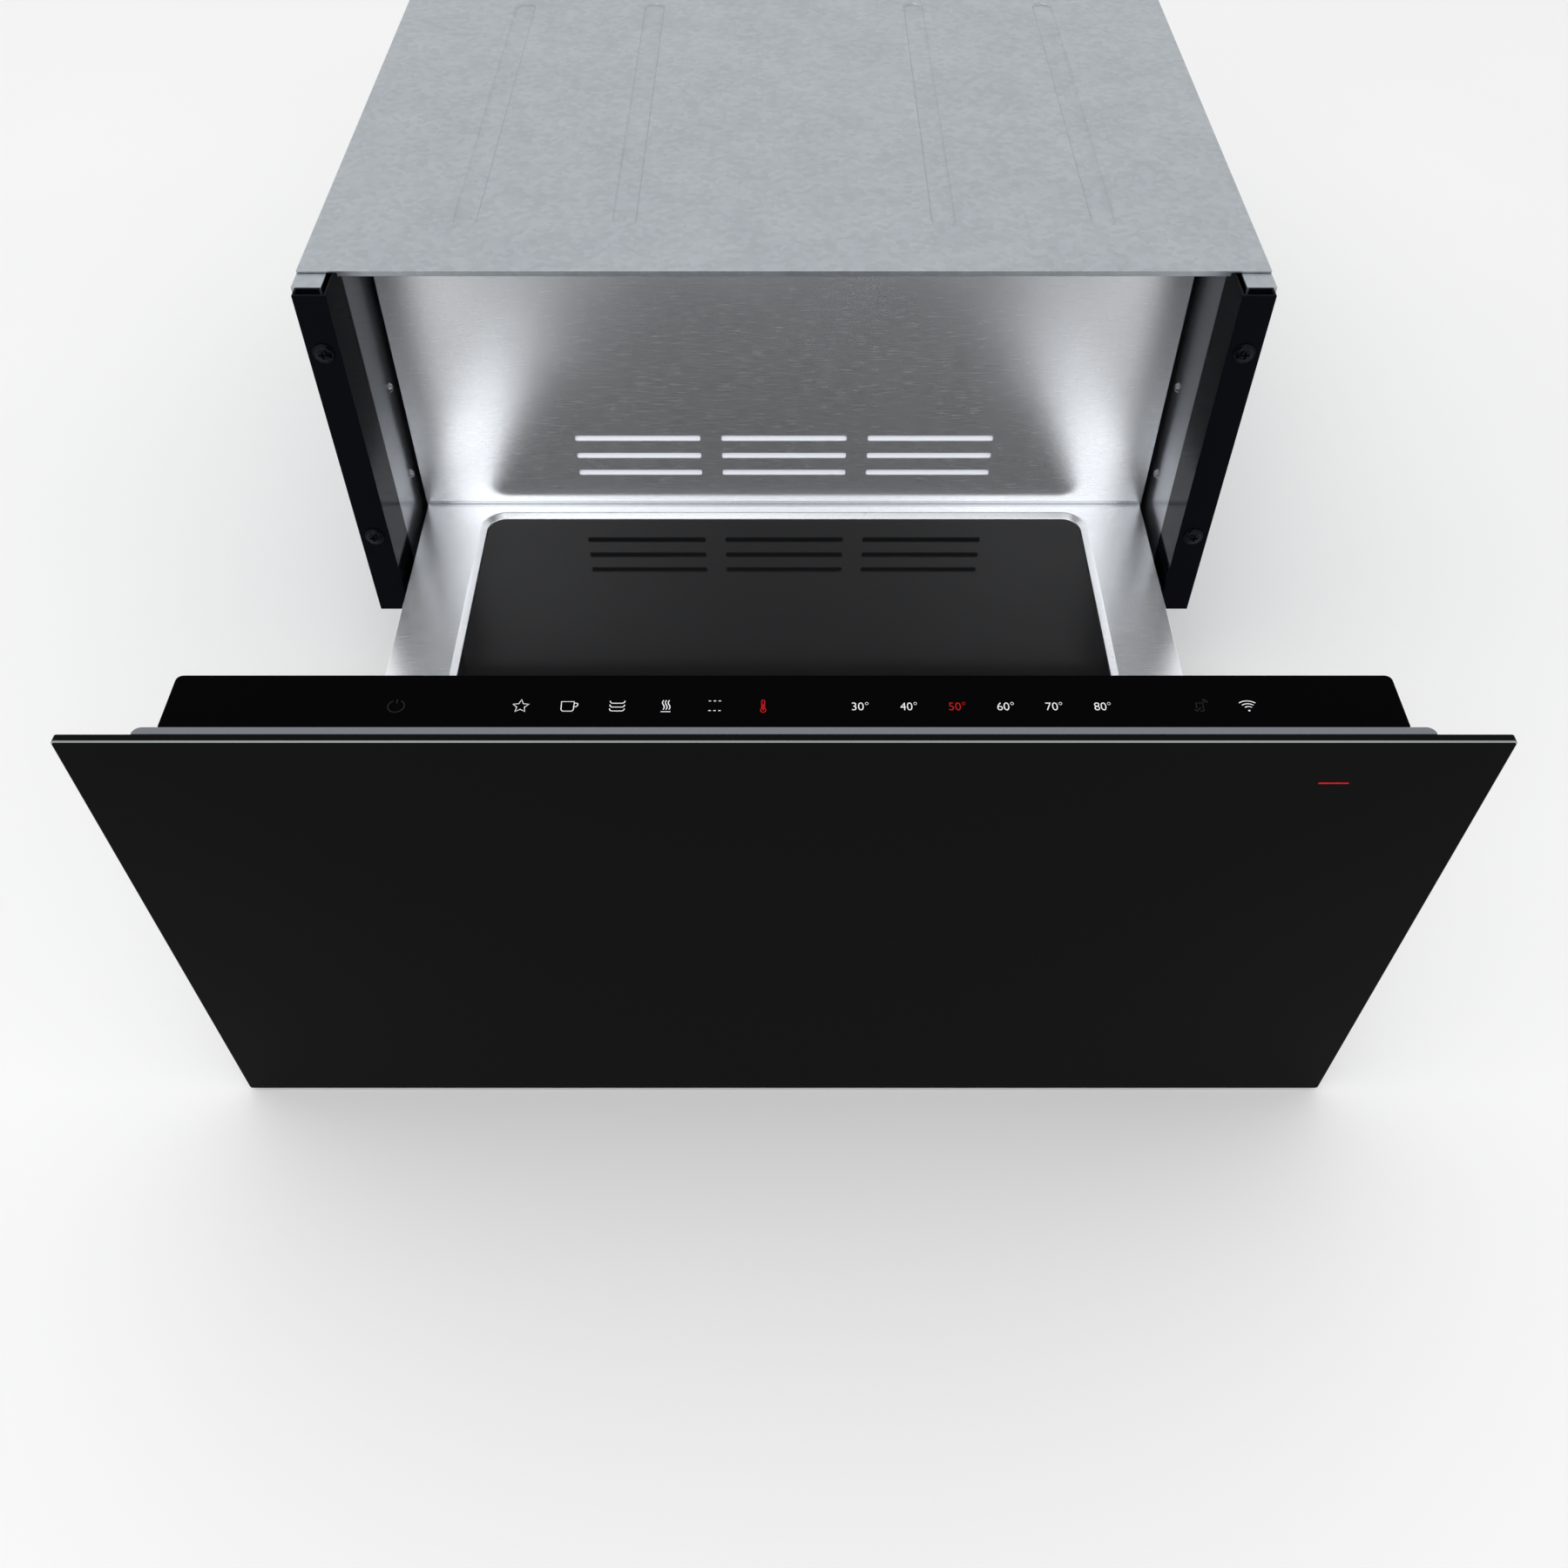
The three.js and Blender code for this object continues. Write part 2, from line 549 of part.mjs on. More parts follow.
function screwHoles(side) {
  return SCREW_HEIGHTS.map((z) => round(
    [[0, 0], [SCREW_HOLE_RADIUS, 0], [SCREW_HOLE_RADIUS, SIDE_SETBACK + 4], [0, SIDE_SETBACK + 4]],
    12, [side * SCREW_X, FRAME_Y - 1, z], true));
}

function frontFrame(side) {
  const lipY = FRAME_Y + SIDE_SETBACK - FIT;
  const plan = [
    [FRAME_INNER, FRAME_Y + FRAME_RETURN], [FRAME_INNER, FRAME_Y], [FRAME_OUTER, FRAME_Y],
    [FRAME_OUTER, lipY], [HALF_HOUSING - FLANGE + 1, lipY],
  ].map(([x, y]) => [side * x, y]);
  const upright = prism(folded(plan, side * FRAME_SHEET), 'z', FRAME_FOOT, SIDE_TOP);
  return cut(upright, screwHoles(side));
}

function frameScrew(side, height) {
  const seat = -FIT;
  const profile = [
    [0, seat - SCREW_HEAD_HEIGHT], [SCREW_HEAD_RADIUS * 0.55, seat - SCREW_HEAD_HEIGHT],
    [SCREW_HEAD_RADIUS * 0.88, seat - SCREW_HEAD_HEIGHT * 0.8],
    [SCREW_HEAD_RADIUS, seat - SCREW_HEAD_HEIGHT * 0.4],
    [SCREW_COLLAR_RADIUS, seat - SCREW_HEAD_HEIGHT * 0.25], [SCREW_COLLAR_RADIUS, seat],
    [SCREW_RADIUS, seat], [SCREW_RADIUS, SCREW_LENGTH - 2], [0, SCREW_LENGTH],
  ];
  const screw = round(profile, 12, [side * SCREW_X, FRAME_Y, height], true);
  const slotY = [FRAME_Y + seat - SCREW_HEAD_HEIGHT - 1, FRAME_Y + seat - SCREW_HEAD_HEIGHT * 0.35];
  const across = [side * SCREW_X - 2.6, side * SCREW_X + 2.6];
  const thin = [side * SCREW_X - 0.5, side * SCREW_X + 0.5];
  return cut(
    screw, block(across, slotY, [height - 0.5, height + 0.5]),
    block(thin, slotY, [height - 2.6, height + 2.6]));
}

function topCover() {
  const front = FRAME_Y + FRONT_DEPTH - FRONT_STANDOFF + 8;
  let cover = block([-HALF_HOUSING, HALF_HOUSING], [front, BACK_Y], [COVER_BOTTOM, HOUSING_HEIGHT]);
  cover = join(
    cover,
    block(
      [-CAVITY + 2, CAVITY - 2], [front, front + STEEL],
      [CEILING_BOTTOM + LINER + FIT, HOUSING_HEIGHT]));
  for (const share of [-0.74, -0.37, 0.37, 0.74]) {
    const x = share * CAVITY;
    cover = bead(cover, [x - 7, x + 7], [front + 50, REAR_WALL_Y], COVER_BOTTOM, STEEL, -1.2);
  }
  return cover;
}

function rearPanel() {
  const outline = polygon([
    [-TUB, 0], [TUB, 0], [TUB, FRAME_FOOT], [HALF_HOUSING, FRAME_FOOT],
    [HALF_HOUSING, SIDE_TOP], [-HALF_HOUSING, SIDE_TOP], [-HALF_HOUSING, FRAME_FOOT], [-TUB, FRAME_FOOT]]);
  for (const middle of [-VENT_SPREAD, VENT_SPREAD]) {
    for (let row = 0; row < VENT_ROWS; row += 1) {
      const z = VENT_LOWEST + row * VENT_PITCH;
      outline.holes.push(
        rectangle(
          [middle - VENT_LENGTH / 2, middle + VENT_LENGTH / 2],
          [z - VENT_HEIGHT / 2, z + VENT_HEIGHT / 2], VENT_HEIGHT / 2));
    }
  }
  return cut(
    prism(outline, 'y', BACK_Y - STEEL, BACK_Y, 1),
    roundHole(INLET_HOLE, 16, [INLET_X, BACK_Y, INLET_Z]));
}

function innerWall(side) {
  const outline = [
    [CAVITY + FLANGE - 1, LEDGE_TOP + FIT], [CAVITY, LEDGE_TOP + FIT],
    [CAVITY, CEILING_BOTTOM - FIT], [CAVITY + FLANGE - 1, CEILING_BOTTOM - FIT],
  ].map(([x, z]) => [side * x, z]);
  let wall = prism(folded(outline, -side * LINER), 'y', LINER_FRONT_Y, GUIDE_Y - FIT);
  for (const above of NUB_HEIGHTS) {
    const nub = new THREE.CylinderGeometry(NUB_RADIUS * 0.5, NUB_RADIUS, NUB_HEIGHT + 0.2, 12);
    nub.rotateZ(side * Math.PI / 2);
    nub.translate(
      side * (CAVITY - NUB_HEIGHT / 2 + 0.1), LINER_FRONT_Y + NUB_FROM_FRONT, FLOOR_HEIGHT + above);
    wall = join(wall, solid(nub));
  }
  return wall;
}

function cavityCeiling() {
  const reach = CAVITY + FLANGE - 1.5;
  return block([-reach, reach], [LINER_FRONT_Y, GUIDE_Y - FIT], [CEILING_BOTTOM, CEILING_BOTTOM + LINER]);
}

// The three by three air slots: what is made at the middle of each.
const eachSlot = (make) => [-1, 0, 1].flatMap((column) => [0, 1, 2].map((row) => make(
  column * SLOT_PITCH_X, FLOOR_HEIGHT + SLOT_LOWEST + row * SLOT_PITCH_Z)));

// Their holes, for a sheet that stands across Y.
const airSlots = () => eachSlot((x, z) => rectangle(
  [x - SLOT_LENGTH / 2, x + SLOT_LENGTH / 2], [z - SLOT_HEIGHT / 2, z + SLOT_HEIGHT / 2], SLOT_CORNER));

function airGuidePanel() {
  const [low, wide, top] = [TUB_INNER - FIT, HALF_HOUSING - STEEL - 2 * FIT, SIDE_TOP - STEEL - FIT];
  const outline = polygon([
    [-low, STEEL + FIT], [low, STEEL + FIT], [low, LEDGE_TOP + FIT], [wide, LEDGE_TOP + FIT],
    [wide, top], [-wide, top], [-wide, LEDGE_TOP + FIT], [-low, LEDGE_TOP + FIT]]);
  outline.holes.push(...airSlots());
  for (let i = 0; i < GRILLE_SLOTS; i += 1) {
    const [a0, a1] = [(i + 0.2) * Math.PI * 2 / GRILLE_SLOTS, (i + 0.8) * Math.PI * 2 / GRILLE_SLOTS];
    const slot = new THREE.Path();
    slot.absarc(0, FAN_HEIGHT, FAN_EYE_RADIUS, a0, a1);
    slot.absarc(0, FAN_HEIGHT, GRILLE_INNER_RADIUS, a1, a0, true);
    outline.holes.push(slot);
  }
  const panel = prism(outline, 'y', GUIDE_Y, GUIDE_Y + LINER, 1);
  const sensorHole = roundHole(SENSOR_RADIUS + FIT, 12, [SENSOR_X, GUIDE_Y, SENSOR_Z]);
  const notches = SIDES.map(([, side]) => block(
    [side * LATCH_SPREAD - LATCH_WIDTH / 2 - 1, side * LATCH_SPREAD + LATCH_WIDTH / 2 + 1],
    [GUIDE_Y - 1, GUIDE_Y + 2], [0, LATCH_TOP + 1]));
  return cut(panel, sensorHole, notches);
}

// ---- Warm air unit ------------------------------------------------------------------------------------

function fanHousing() {
  const [front, back] = [GUIDE_Y + LINER + FIT, SHROUD_BACK_Y];
  const x = [-SHROUD_WIDTH / 2, SHROUD_WIDTH / 2];
  const z = [SHROUD_BOTTOM, SHROUD_TOP];
  const inset = ([a, b], by) => [a + by, b - by];
  const box = prism(rectangle(x, z, SHROUD_CORNER), 'y', front, back);
  const flange = prism(
    rectangle(inset(x, -SHROUD_FLANGE), inset(z, -SHROUD_FLANGE), SHROUD_CORNER), 'y', front,
    front + LINER);
  const pocket = prism(
    rectangle(inset(x, LINER), inset(z, LINER), SHROUD_CORNER - LINER), 'y', front - 1, back - LINER);
  const shaftHole = roundHole(SHAFT_RADIUS + 0.7, 16, [0, back, FAN_HEIGHT]);
  const legHoles = SIDES.map(([, side]) => roundHole(
    HEATER_TUBE_RADIUS + 0.7, 12, [side * HEATER_LEG_SPREAD, back, FAN_HEIGHT - HEATER_RADIUS]));
  return cut(join(box, flange), pocket, shaftHole, legHoles);
}

// The tubular heater: two legs through the shroud's back and one turn round the fan.
function ringHeater() {
  const y = FAN_FRONT_Y + FAN_WIDTH / 2;
  const legY = SHROUD_BACK_Y + HEATER_LEG;
  const open = Math.asin(HEATER_LEG_SPREAD / HEATER_RADIUS) * 1.6;
  const foot = FAN_HEIGHT - HEATER_RADIUS;
  const turn = [];
  for (let i = 0; i <= 24; i += 1) {
    const angle = -Math.PI / 2 + open + (Math.PI * 2 - 2 * open) * i / 24;
    turn.push(
      new THREE.Vector3(HEATER_RADIUS * Math.cos(angle), y, FAN_HEIGHT + HEATER_RADIUS * Math.sin(angle)));
  }
  const leg = (side) => [legY, SHROUD_BACK_Y - 2, y + 8].map(
    (at) => new THREE.Vector3(side * HEATER_LEG_SPREAD, at, foot));
  const path = new THREE.CatmullRomCurve3([...leg(1), ...turn, ...leg(-1).reverse()]);
  const section = new THREE.Shape();
  section.absarc(0, 0, HEATER_TUBE_RADIUS, 0, Math.PI * 2);
  return solid(new THREE.ExtrudeGeometry(section, { steps: 36, extrudePath: path, curveSegments: 3 }));
}

function fanMotor() {
  const front = SHROUD_BACK_Y + FIT;
  const r = MOTOR_RADIUS;
  const profile = [
    [SHAFT_RADIUS + SHAFT_CLEARANCE, front], [r * 0.55, front], [r * 0.55, front + 4], [r * 0.9, front + 4],
    [r, front + 7], [r, front + MOTOR_LENGTH - 4], [r * 0.9, front + MOTOR_LENGTH],
    [r * 0.3, front + MOTOR_LENGTH],
    [r * 0.3, front + MOTOR_LENGTH + 6], [0, front + MOTOR_LENGTH + 6], [0, front + 22],
    [SHAFT_RADIUS + SHAFT_CLEARANCE, front + 22], [SHAFT_RADIUS + SHAFT_CLEARANCE, front],
  ];
  const body = round(profile, 20, [0, 0, FAN_HEIGHT], true);
  const ears = [0, 1, 2].map((i) => {
    const ear = new THREE.BoxGeometry(16, 2, r + 16);
    ear.translate(0, front + 6, (r + 16) / 2 + r * 0.5);
    ear.rotateY(i * Math.PI * 2 / 3);
    ear.translate(0, 0, FAN_HEIGHT);
    const foot = new THREE.CylinderGeometry(5, 5, 7, 8);
    foot.translate(0, front + 3.5, r * 1.5 + 10);
    foot.rotateY(i * Math.PI * 2 / 3);
    foot.translate(0, 0, FAN_HEIGHT);
    return join(solid(ear), solid(foot));
  });
  return join(body, ears);
}

// A centrifugal wheel: back disc with hub, curved blades and a front ring.
function fanWheel() {
  const at = [0, 0, FAN_HEIGHT];
  const bore = SHAFT_RADIUS + SHAFT_CLEARANCE;
  const disc = round([
    [bore, FAN_BACK_Y - 12], [8, FAN_BACK_Y - 12], [9, FAN_BACK_Y - 1.2], [FAN_RADIUS, FAN_BACK_Y - 1.2],
    [FAN_RADIUS, FAN_BACK_Y], [bore, FAN_BACK_Y], [bore, FAN_BACK_Y - 12]], 32, at, true);
  const front = round([
    [FAN_RADIUS - 7, FAN_FRONT_Y], [FAN_RADIUS, FAN_FRONT_Y], [FAN_RADIUS, FAN_FRONT_Y + 1.2],
    [FAN_RADIUS - 7, FAN_FRONT_Y + 1.2], [FAN_RADIUS - 7, FAN_FRONT_Y]], 32, at, true);
  const blades = Array.from({ length: FAN_BLADES }, (_, i) => {
    const turn = i * Math.PI * 2 / FAN_BLADES;
    const line = [0, 1, 2, 3].map((step) => {
      const radius = FAN_EYE_RADIUS + (FAN_RADIUS - 1 - FAN_EYE_RADIUS) * step / 3;
      const angle = turn + 0.3 * Math.sin(step / 3 * Math.PI / 2);
      return [radius * Math.cos(angle), FAN_HEIGHT + radius * Math.sin(angle)];
    });
    return prism(folded(line, 0.8), 'y', FAN_FRONT_Y + 0.6, FAN_BACK_Y - 0.6);
  });
  return join(disc, front, blades);
}

function motorShaft() {
  const [front, back] = [FAN_BACK_Y - 14, SHROUD_BACK_Y + FIT + 18];
  return round(
    [[0, front], [SHAFT_RADIUS - 0.8, front], [SHAFT_RADIUS, front + 0.8], [SHAFT_RADIUS, back], [0, back]],
    16, [0, 0, FAN_HEIGHT], true);
}

function temperatureSensor() {
  const r = SENSOR_RADIUS;
  return round([
    [0, GUIDE_Y - 12], [r * 0.7, GUIDE_Y - 11], [r, GUIDE_Y - 9], [r, GUIDE_Y + LINER + FIT],
    [r + 4, GUIDE_Y + LINER + FIT],
    [r + 4, GUIDE_Y + LINER + 4], [r, GUIDE_Y + LINER + 4], [r, GUIDE_Y + LINER + 12],
    [0, GUIDE_Y + LINER + 12]],
  12, [SENSOR_X, 0, SENSOR_Z], true);
}

function powerModule() {
  const [front, back] = [GUIDE_Y + LINER + FIT, GUIDE_Y + LINER + FIT + MODULE_DEPTH];
  const x = [MODULE_X - MODULE_WIDTH / 2, MODULE_X + MODULE_WIDTH / 2];
  const z = [MODULE_BOTTOM, MODULE_BOTTOM + MODULE_HEIGHT];
  const grow = ([a, b], by) => [a - by, b + by];
  const feet = prism(rectangle([x[0] + 6, x[1] - 6], grow(z, 8), 4), 'y', front, front + 3);
  const base = prism(rectangle(x, z, 5), 'y', front, back - 10);
  const lid = prism(rectangle(grow(x, 1.5), grow(z, 1.5), 6), 'y', back - 12, back);
  const fins = Array.from({ length: 6 }, (_, i) => {
    const at = z[0] + 20 + i * (MODULE_HEIGHT - 40) / 5;
    return block([x[0] + 8, x[1] - 8], [back - 1, back + 1.5], [at - 1, at + 1]);
  });
  return join(feet, base, lid, fins);
}

function mainsInlet() {
  const inner = BACK_Y - STEEL - FIT;
  const neck = INLET_HOLE - FIT;
  return round([
    [INLET_BORE, inner - 20], [neck * 0.8, inner - 20], [neck * 0.8, inner - 3],
    [INLET_HOLE + 4, inner - 3], [INLET_HOLE + 4, inner],
    [neck, inner], [neck, BACK_Y], [INLET_BORE + 1, BACK_Y], [INLET_BORE, BACK_Y - 1],
    [INLET_BORE, inner - 20]],
  16, [INLET_X, 0, INLET_Z], true);
}

// ---- Push latches ---------------------------------------------------------------------------------------

function latchBody(side) {
  const x = side * LATCH_SPREAD;
  const back = LATCH_FRONT_Y + LATCH_LENGTH;
  const foot = STEEL + FIT;
  const body = prism(
    rectangle([x - LATCH_WIDTH / 2, x + LATCH_WIDTH / 2], [foot, LATCH_TOP], 3), 'y', LATCH_FRONT_Y,
    back);
  const feet = block([x - LATCH_WIDTH, x + LATCH_WIDTH], [GUIDE_Y + LINER + 2, back], [foot, foot + 2.5]);
  const bore = round([
    [0, 0], [PLUNGER_RADIUS + FIT, 0], [PLUNGER_RADIUS + FIT, LATCH_LENGTH - 6], [0, LATCH_LENGTH - 6]],
    16, [x, LATCH_FRONT_Y - 0.01, PLUNGER_HEIGHT], true);
  return cut(join(body, feet), bore);
}

function latchPlunger(side) {
  const [tip, neck, end] = [
    PLUNGER_TIP_Y, PLUNGER_TIP_Y + PLUNGER_TIP, LATCH_FRONT_Y + LATCH_LENGTH - 6 - PLUNGER_STROKE - 1];
  return round([
    [0, tip], [PLUNGER_TIP_RADIUS - 1, tip], [PLUNGER_TIP_RADIUS, tip + 1], [PLUNGER_TIP_RADIUS, neck],
    [PLUNGER_RADIUS, neck], [PLUNGER_RADIUS, end], [0, end]], 16, [side * LATCH_SPREAD, 0,
    PLUNGER_HEIGHT], true);
}

// ---- Telescopic runners -------------------------------------------------------------------------

// A channel that stands on its web, between two distances from the tub's wall.
function channel(side, web, lip, top, curl = 0) {
  const x = (across) => side * (RAIL_X - across);
  const z = (above) => RAIL_MIDDLE_Z + above;
  const half = [[lip, top - curl], [lip, top], [web, top]];
  const line = [...half, ...half.map(([across, above]) => [across, -above]).reverse()];
  const open = curl > 0 ? line : line.slice(1, -1);
  const facing = Math.sign(lip - web) * side;
  return prism(
    folded(open.map(([across, above]) => [x(across), z(above)]), -facing * RAIL_SHEET), 'y',
    RAIL_FRONT_Y, RAIL_BACK_Y);
}

const outerRail = (side) => channel(
  side, RAIL_SECTION.outerWeb, RAIL_SECTION.outerLip, RAIL_HEIGHT / 2, 2.6);
const middleRail = (side) => channel(side, RAIL_SECTION.middleWeb, RAIL_SECTION.middleLip, MIDDLE_TOP);
const innerRail = (side) => channel(side, RAIL_SECTION.innerWeb, RAIL_SECTION.innerLip, INNER_TOP);

// A thin strip that holds a row of balls above and below, between two rails.
function ballCage(side, web, race, ballRadius, ballAcross) {
  const length = RAIL_LENGTH - FULL_TRAVEL / 2 - 12;
  const front = RAIL_FRONT_Y + FULL_TRAVEL / 4 + 6;
  const x = (across) => side * (RAIL_X - across);
  const centre = race - FIT - ballRadius;
  const half = [[ballAcross + 2.2, centre + CAGE_SHEET / 2], [web, centre + CAGE_SHEET / 2]];
  const line = [...half, ...half.map(([across, above]) => [across, -above]).reverse()];
  const strip = prism(
    folded(line.map(([across, above]) => [x(across), RAIL_MIDDLE_Z + above]), side * CAGE_SHEET * -1),
    'y', front, front + length);
  const balls = [-1, 1].flatMap((row) => Array.from({ length: CAGE_BALLS }, (_, i) => {
    const ball = new THREE.SphereGeometry(ballRadius, 8, 4);
    ball.translate(x(ballAcross), front + length * (i + 0.5) / CAGE_BALLS, RAIL_MIDDLE_Z + row * centre);
    return solid(ball);
  }));
  return join(strip, balls);
}

const outerCage = (side) => ballCage(side, RAIL_SHEET + FIT, OUTER_RACE, OUTER_BALL / 2, 5.4);
const innerCage = (side) => ballCage(
  side, RAIL_SECTION.middleWeb + RAIL_SHEET + FIT, INNER_RACE, INNER_BALL / 2, 7.6);

// ---- Front of the drawer ------------------------------------------------------------------------

function frontGlass() {
  const outline = (inset) => ring(
    [-FRONT + inset, FRONT - inset], [FRONT_FOOT + inset, FRONT_TOP - inset],
    GLASS_CORNER - inset * 0.5);
  return stack([
    { points: outline(0), at: FACE_Y + GLASS },
    { points: outline(0), at: FACE_Y + GLASS_CHAMFER },
    { points: outline(GLASS_CHAMFER), at: FACE_Y },
  ], 'y');
}

function frontCarrier() {
  const [front, back] = [FACE_Y + GLASS + FIT, FACE_Y + GLASS + FIT + CARRIER_DEPTH];
  const plan = new THREE.Shape();
  plan.moveTo(-CARRIER, front);
  plan.lineTo(CARRIER, front);
  plan.absarc(CARRIER - CARRIER_CORNER, back - CARRIER_CORNER, CARRIER_CORNER, 0, Math.PI / 2);
  plan.absarc(-CARRIER + CARRIER_CORNER, back - CARRIER_CORNER, CARRIER_CORNER, Math.PI / 2, Math.PI);
  const tray = prism(plan, 'z', CARRIER_FOOT, FRONT_TOP);
  const rimWidth = CARRIER_CORNER + 0.4;
  const pocket = block(
    [-CARRIER + rimWidth, CARRIER - rimWidth], [front + STEEL, back + 1],
    [CARRIER_FOOT + STEEL, FRONT_TOP - STEEL]);
  const [lightX, lightZ] = [FRONT - LIGHT_FROM_SIDE, FRONT_TOP - LIGHT_FROM_TOP];
  const slot = block(
    [lightX - LIGHT_LENGTH / 2 - FIT, lightX + LIGHT_LENGTH / 2 + FIT], [front - 1, back],
    [lightZ - LIGHT_HEIGHT / 2 - FIT, lightZ + LIGHT_HEIGHT / 2 + FIT]);
  return cut(tray, pocket, slot);
}

function statusLightGuide() {
  const [x, z] = [FRONT - LIGHT_FROM_SIDE, FRONT_TOP - LIGHT_FROM_TOP];
  const front = FACE_Y + GLASS + FIT;
  const bar = block(
    [x - LIGHT_LENGTH / 2, x + LIGHT_LENGTH / 2], [front, front + STEEL + 1],
    [z - LIGHT_HEIGHT / 2, z + LIGHT_HEIGHT / 2]);
  const foot = block(
    [x - LIGHT_LENGTH / 2 - 3, x + LIGHT_LENGTH / 2 + 3], [front + STEEL + FIT, front + CARRIER_DEPTH],
    [z - 3, z + 3]);
  return join(bar, foot);
}

const FRONT_BOX_Y = FACE_Y + GLASS + 2 * FIT + CARRIER_DEPTH;        // where the front's hollow box starts

function frontInnerPanel() {
  const box = prism(rectangle([-FLOOR, FLOOR], [PAN_FOOT, PANEL_TOP], 6), 'y', FRONT_BOX_Y, INNER_FACE_Y);
  const pocket = prism(
    rectangle([-FLOOR + LINER, FLOOR - LINER], [PAN_FOOT + LINER, PANEL_TOP - LINER], 5), 'y',
    FRONT_BOX_Y - 1, INNER_FACE_Y - LINER);
  return cut(box, pocket);
}

function frontInsulation() {
  const inset = LINER + 0.8;
  return prism(
    rectangle([-FLOOR + inset, FLOOR - inset], [PAN_FOOT + inset, PANEL_TOP - inset], 4), 'y',
    FRONT_BOX_Y + 1, INNER_FACE_Y - LINER - FIT);
}

// The strip's plan, with the two far corners rounded.
function stripPlan(inset) {
  const plan = new THREE.Shape();
  const [x, near, far] = [STRIP - inset, FRONT_BOX_Y + inset, INNER_FACE_Y - inset];
  const r = STRIP_CORNER - Math.min(inset, STRIP_CORNER - 0.5);
  plan.moveTo(-x, near);
  plan.lineTo(x, near);
  plan.absarc(x - r, far - r, r, 0, Math.PI / 2);
  plan.absarc(-x + r, far - r, r, Math.PI / 2, Math.PI);
  return plan;
}

function controlHousing() {
  const trough = prism(stripPlan(0), 'z', TROUGH_BOTTOM, TROUGH_TOP);
  const hollow = prism(stripPlan(TROUGH_WALL), 'z', TROUGH_BOTTOM + TROUGH_WALL, TROUGH_TOP + 1);
  const boardBottom = FRONT_TOP - STRIP_GLASS - BOARD_DEPTH_BELOW - BOARD;
  const middle = FACE_Y + KEY_BEHIND_FACE;
  const posts = [-0.8, -0.3, 0.3, 0.8].map((share) => block(
    [share * STRIP - 4, share * STRIP + 4], [middle - 4, middle + 4], [
      TROUGH_BOTTOM + TROUGH_WALL / 2, boardBottom - FIT]));
  return join(cut(trough, hollow), posts);
}

const controlGlass = () => prism(stripPlan(0), 'z', FRONT_TOP - STRIP_GLASS, FRONT_TOP);

function controlBoard() {
  const bottom = FRONT_TOP - STRIP_GLASS - BOARD_DEPTH_BELOW - BOARD;
  const middle = FACE_Y + KEY_BEHIND_FACE;
  const board = block(
    [-STRIP + BOARD_END_GAP, STRIP - BOARD_END_GAP], [middle - BOARD_FRONT, middle + BOARD_BACK],
    [bottom, bottom + BOARD]);
  const keys = KEY_PLACES.map((place) => round(
    [
      [0, 0], [KEY_RADIUS, 0], [KEY_RADIUS * 0.8, BOARD_DEPTH_BELOW + BOARD / 2 - FIT],
      [0, BOARD_DEPTH_BELOW + BOARD / 2 - FIT]],
    8, [place * KEY_PITCH, middle, bottom + BOARD / 2]));
  return join(board, keys);
}

// ---- Drawer tray --------------------------------------------------------------------------------

function drawerFloor() {
  const opening = 0.5;
  const reach = RECESS_BEVEL + opening;
  const sheet = rectangle([-FLOOR, FLOOR], [FLOOR_FRONT_Y, FLOOR_BACK_Y]);
  sheet.holes.push(
    rectangle(
      [-PLATE_X - reach, PLATE_X + reach], [PLATE_FRONT_Y - reach, PLATE_BACK_Y + reach],
      PLATE_CORNER + reach));
  const top = prism(sheet, 'z', FLOOR_HEIGHT - LINER, FLOOR_HEIGHT);
  const skirts = SIDES.map(([, side]) => block(
    [side * FLOOR, side * (FLOOR - LINER)], [FLOOR_FRONT_Y, FLOOR_BACK_Y],
    [FLOOR_HEIGHT - FLOOR_SKIRT, FLOOR_HEIGHT]));
  const ledge = PLATE_BOTTOM - FIT;
  const recess = rim([-PLATE_X, PLATE_X], [PLATE_FRONT_Y, PLATE_BACK_Y], PLATE_CORNER, [
    [reach + 1, FLOOR_HEIGHT - LINER], [reach + 1, FLOOR_HEIGHT], [RECESS_BEVEL, FLOOR_HEIGHT],
    [FIT, PLATE_TOP],
    [FIT, ledge], [-PLATE_LEDGE, ledge], [-PLATE_LEDGE, ledge - LINER], [FIT + LINER, ledge - LINER],
    [FIT + LINER, PLATE_TOP - LINER], [RECESS_BEVEL, FLOOR_HEIGHT - LINER]]);
  return join(top, skirts, recess);
}

function heatPlate() {
  const edge = 0.6;
  const outline = (inset) => ring(
    [-PLATE_X + inset, PLATE_X - inset], [PLATE_FRONT_Y + inset, PLATE_BACK_Y - inset],
    PLATE_CORNER - inset, 6);
  return stack([
    { points: outline(0), at: PLATE_BOTTOM },
    { points: outline(0), at: PLATE_TOP - edge },
    { points: outline(edge), at: PLATE_TOP },
  ], 'z');
}

// A flat heating band that runs to and fro under the plate.
function heatingElement() {
  const x = PLATE_X - PLATE_LEDGE - ELEMENT_MARGIN;
  const [front, back] = [
    PLATE_FRONT_Y + PLATE_LEDGE + ELEMENT_MARGIN, PLATE_BACK_Y - PLATE_LEDGE - ELEMENT_MARGIN];
  const line = [];
  for (let pass = 0; pass < ELEMENT_PASSES; pass += 1) {
    const across = -x + 2 * x * pass / (ELEMENT_PASSES - 1);
    const ends = pass % 2 === 0 ? [front, back] : [back, front];
    ends.forEach((y) => line.push([across, y]));
  }
  return prism(folded(line, ELEMENT_BAND), 'z', PLATE_BOTTOM - FIT - ELEMENT_THICKNESS, PLATE_BOTTOM - FIT);
}

